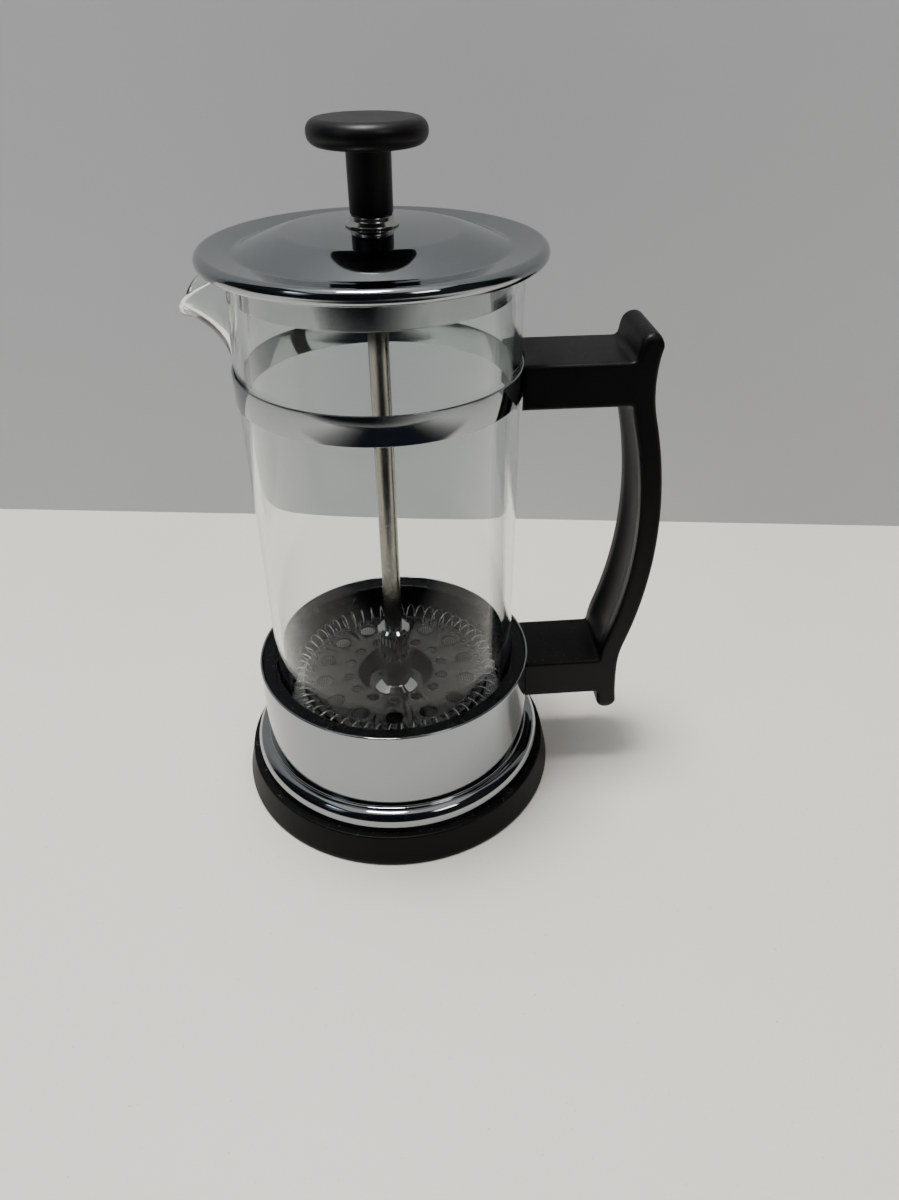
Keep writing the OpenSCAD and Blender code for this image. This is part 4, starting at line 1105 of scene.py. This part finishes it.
# Press plate: a bright steel disc pressed into a shallow dish, pierced by two rings of
# drain holes and an outer ring of fine holes that the coil's wire is wound through.
plate_low, plate_high = (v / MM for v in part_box("spiral_plate"))
PLATE = 0.7
PLATE_RIM_H = 1.4
DISH_R = 8.6
DISH_TOP_R = 12.0
DISH_SHIFT = 0.3
FINE_HOLES = 56
# Each ring of holes: how many, the ring's radius, a hole's radius and the first hole's angle.
HOLE_RINGS = ((14, 22.0, 2.5, 10.0), (14, 14.4, 1.6, 10.0), (FINE_HOLES, 26.05, 0.75, 180 / FINE_HOLES))
BIG_HOLE_R = 1
# How much wider a drill is, and how far above the plate's top, where it eases a hole's edge.
DRILL_EASE = ((0, -0.22), (0.12, -0.07), (0.42, 0.12))
plate_r = plate_high.x
plate_top = plate_high.z
under_plate = plate_top - PLATE
plate_outline = eased([
    (ROD_BORE_R, plate_low.z), (DISH_R, plate_low.z, 1.2), (DISH_TOP_R, under_plate, 1.2),
    (plate_r - PLATE, under_plate, 0.3), (plate_r - PLATE, under_plate - PLATE_RIM_H, 0.15),
    (plate_r, under_plate - PLATE_RIM_H, 0.15), (plate_r, plate_top, 0.7),
    (DISH_TOP_R - DISH_SHIFT, plate_top, 1.2), (DISH_R - DISH_SHIFT, plate_low.z + PLATE, 1.2),
    (ROD_BORE_R, plate_low.z + PLATE)])
# The plate's steel colour is painted shade: it is set far darker than the other bright steel, as dim as
# the plate stands inside the glass.
painted_shade_plate_steel = bright_metal("press_plate_painted_shade_steel", (0.11, 0.105, 0.10, 1), 0.06, 0.05, 0.05)
plate = made_piece("press_plate", *turned(plate_outline, segments=224), painted_shade_plate_steel)
for number, ring_r, hole_r, first in HOLE_RINGS:
    drill = [(0, plate_low.z - DRILL_PAST), (hole_r, plate_low.z - DRILL_PAST)]
    drill += [(hole_r + wider, plate_top + above) for wider, above in DRILL_EASE]
    drill += [(0, drill[-1][1])]
    drill = turned(drill, segments=40 if hole_r > BIG_HOLE_R else 20, closed=False)
    cut_away(plate, *several(drill, round_axis(number, ring_r, first)))
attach(plate, "plunger")
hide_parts("spiral_plate")

# Spiral wire: a long coil of springy steel wire bent into a ring, wound through the
# plate's fine holes so that its outside brushes the glass and seals the filter.
coil_low, coil_high = (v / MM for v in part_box("filter_coil"))
COIL_R = 3.2
COIL_RING_R = 29.25
WIRE_D = 0.4
TURNS = FINE_HOLES
STEPS = 24
SIDES = 8
coil_steel = bright_metal("spring_wire_steel", (0.74, 0.74, 0.72, 1), 0.25, 0.08, 0.06, 0.000003)
coil_z = (coil_low.z + coil_high.z) / 2
a = np.linspace(0, 2 * pi * TURNS, TURNS * STEPS, endpoint=False)


def on_coil(a, coil_r=COIL_R):
    """Points of the wire's middle line at angles along it, or of the coil's own middle."""
    r = COIL_RING_R + coil_r * np.cos(a)
    return np.stack([r * np.cos(a / TURNS), r * np.sin(a / TURNS), coil_z + coil_r * np.sin(a)], 1)


line = on_coil(a)
along = on_coil(a + 0.01) - on_coil(a - 0.01)
along /= np.linalg.norm(along, axis=1)[:, None]
outward = line - on_coil(a, coil_r=0)
side = np.cross(along, outward)
side /= np.linalg.norm(side, axis=1)[:, None]
top = np.cross(side, along)
wire = np.array([
    line + WIRE_D / 2 * (cos(2 * pi * k / SIDES) * side + sin(2 * pi * k / SIDES) * top)
    for k in range(SIDES)]).transpose(1, 0, 2) * MM
wire_faces = row_faces(len(wire), SIDES, joined=True)
coil = made_piece("spiral_wire", wire.reshape(-1, 3), wire_faces, coil_steel, crease=80)
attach(coil, "plunger")
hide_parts("filter_coil")

# Screen: a disc of fine woven steel wire under the plate, its edge turned up between the
# coil and the glass.
screen_low, screen_high = (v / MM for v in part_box("filter_mesh"))
SCREEN = 0.4
SCREEN_FLAT_R = 28.6
SCREEN_LIP, SCREEN_LIP_TOP = 0.55, 0.9
SCREEN_LIP_IN, SCREEN_BEND_IN = 0.08, 0.1
WEAVE_SCALE = 2600.0 / 6.283
SCREEN_DARK = (0.10, 0.10, 0.10, 1)
SCREEN_PALE = (0.52, 0.52, 0.51, 1)
screen_steel, tree, surface = new_finish("woven_screen_steel")
place = own_place(tree)
wires_x, wires_y = (add(
    tree, "ShaderNodeTexWave", {"Vector": place, "Scale": WEAVE_SCALE, "Distortion": 0.0},
    bands_direction=direction).outputs["Fac"] for direction in "XY")
weave = sum_of(tree, "MAXIMUM", wires_x, wires_y)
coat(tree, surface, {
    "Base Color": blended(tree, weave, SCREEN_DARK, SCREEN_PALE), "Metallic": 1.0,
    "Roughness": 0.35, "Normal": bumps(tree, weave, 0.5, 0.00008)})
screen_r = screen_high.x
screen_z = screen_low.z
screen_outline = eased([
    (ROD_BORE_R, screen_z), (SCREEN_FLAT_R, screen_z, 2), (screen_r, screen_z + SCREEN_LIP, 0.15),
    (screen_r - SCREEN_LIP_IN, screen_z + SCREEN_LIP_TOP, 0.1),
    (SCREEN_FLAT_R - SCREEN_BEND_IN, screen_z + SCREEN, 2), (ROD_BORE_R, screen_z + SCREEN)])
screen = made_piece("screen", *turned(screen_outline, segments=192), screen_steel)
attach(screen, "plunger")
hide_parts("filter_mesh")
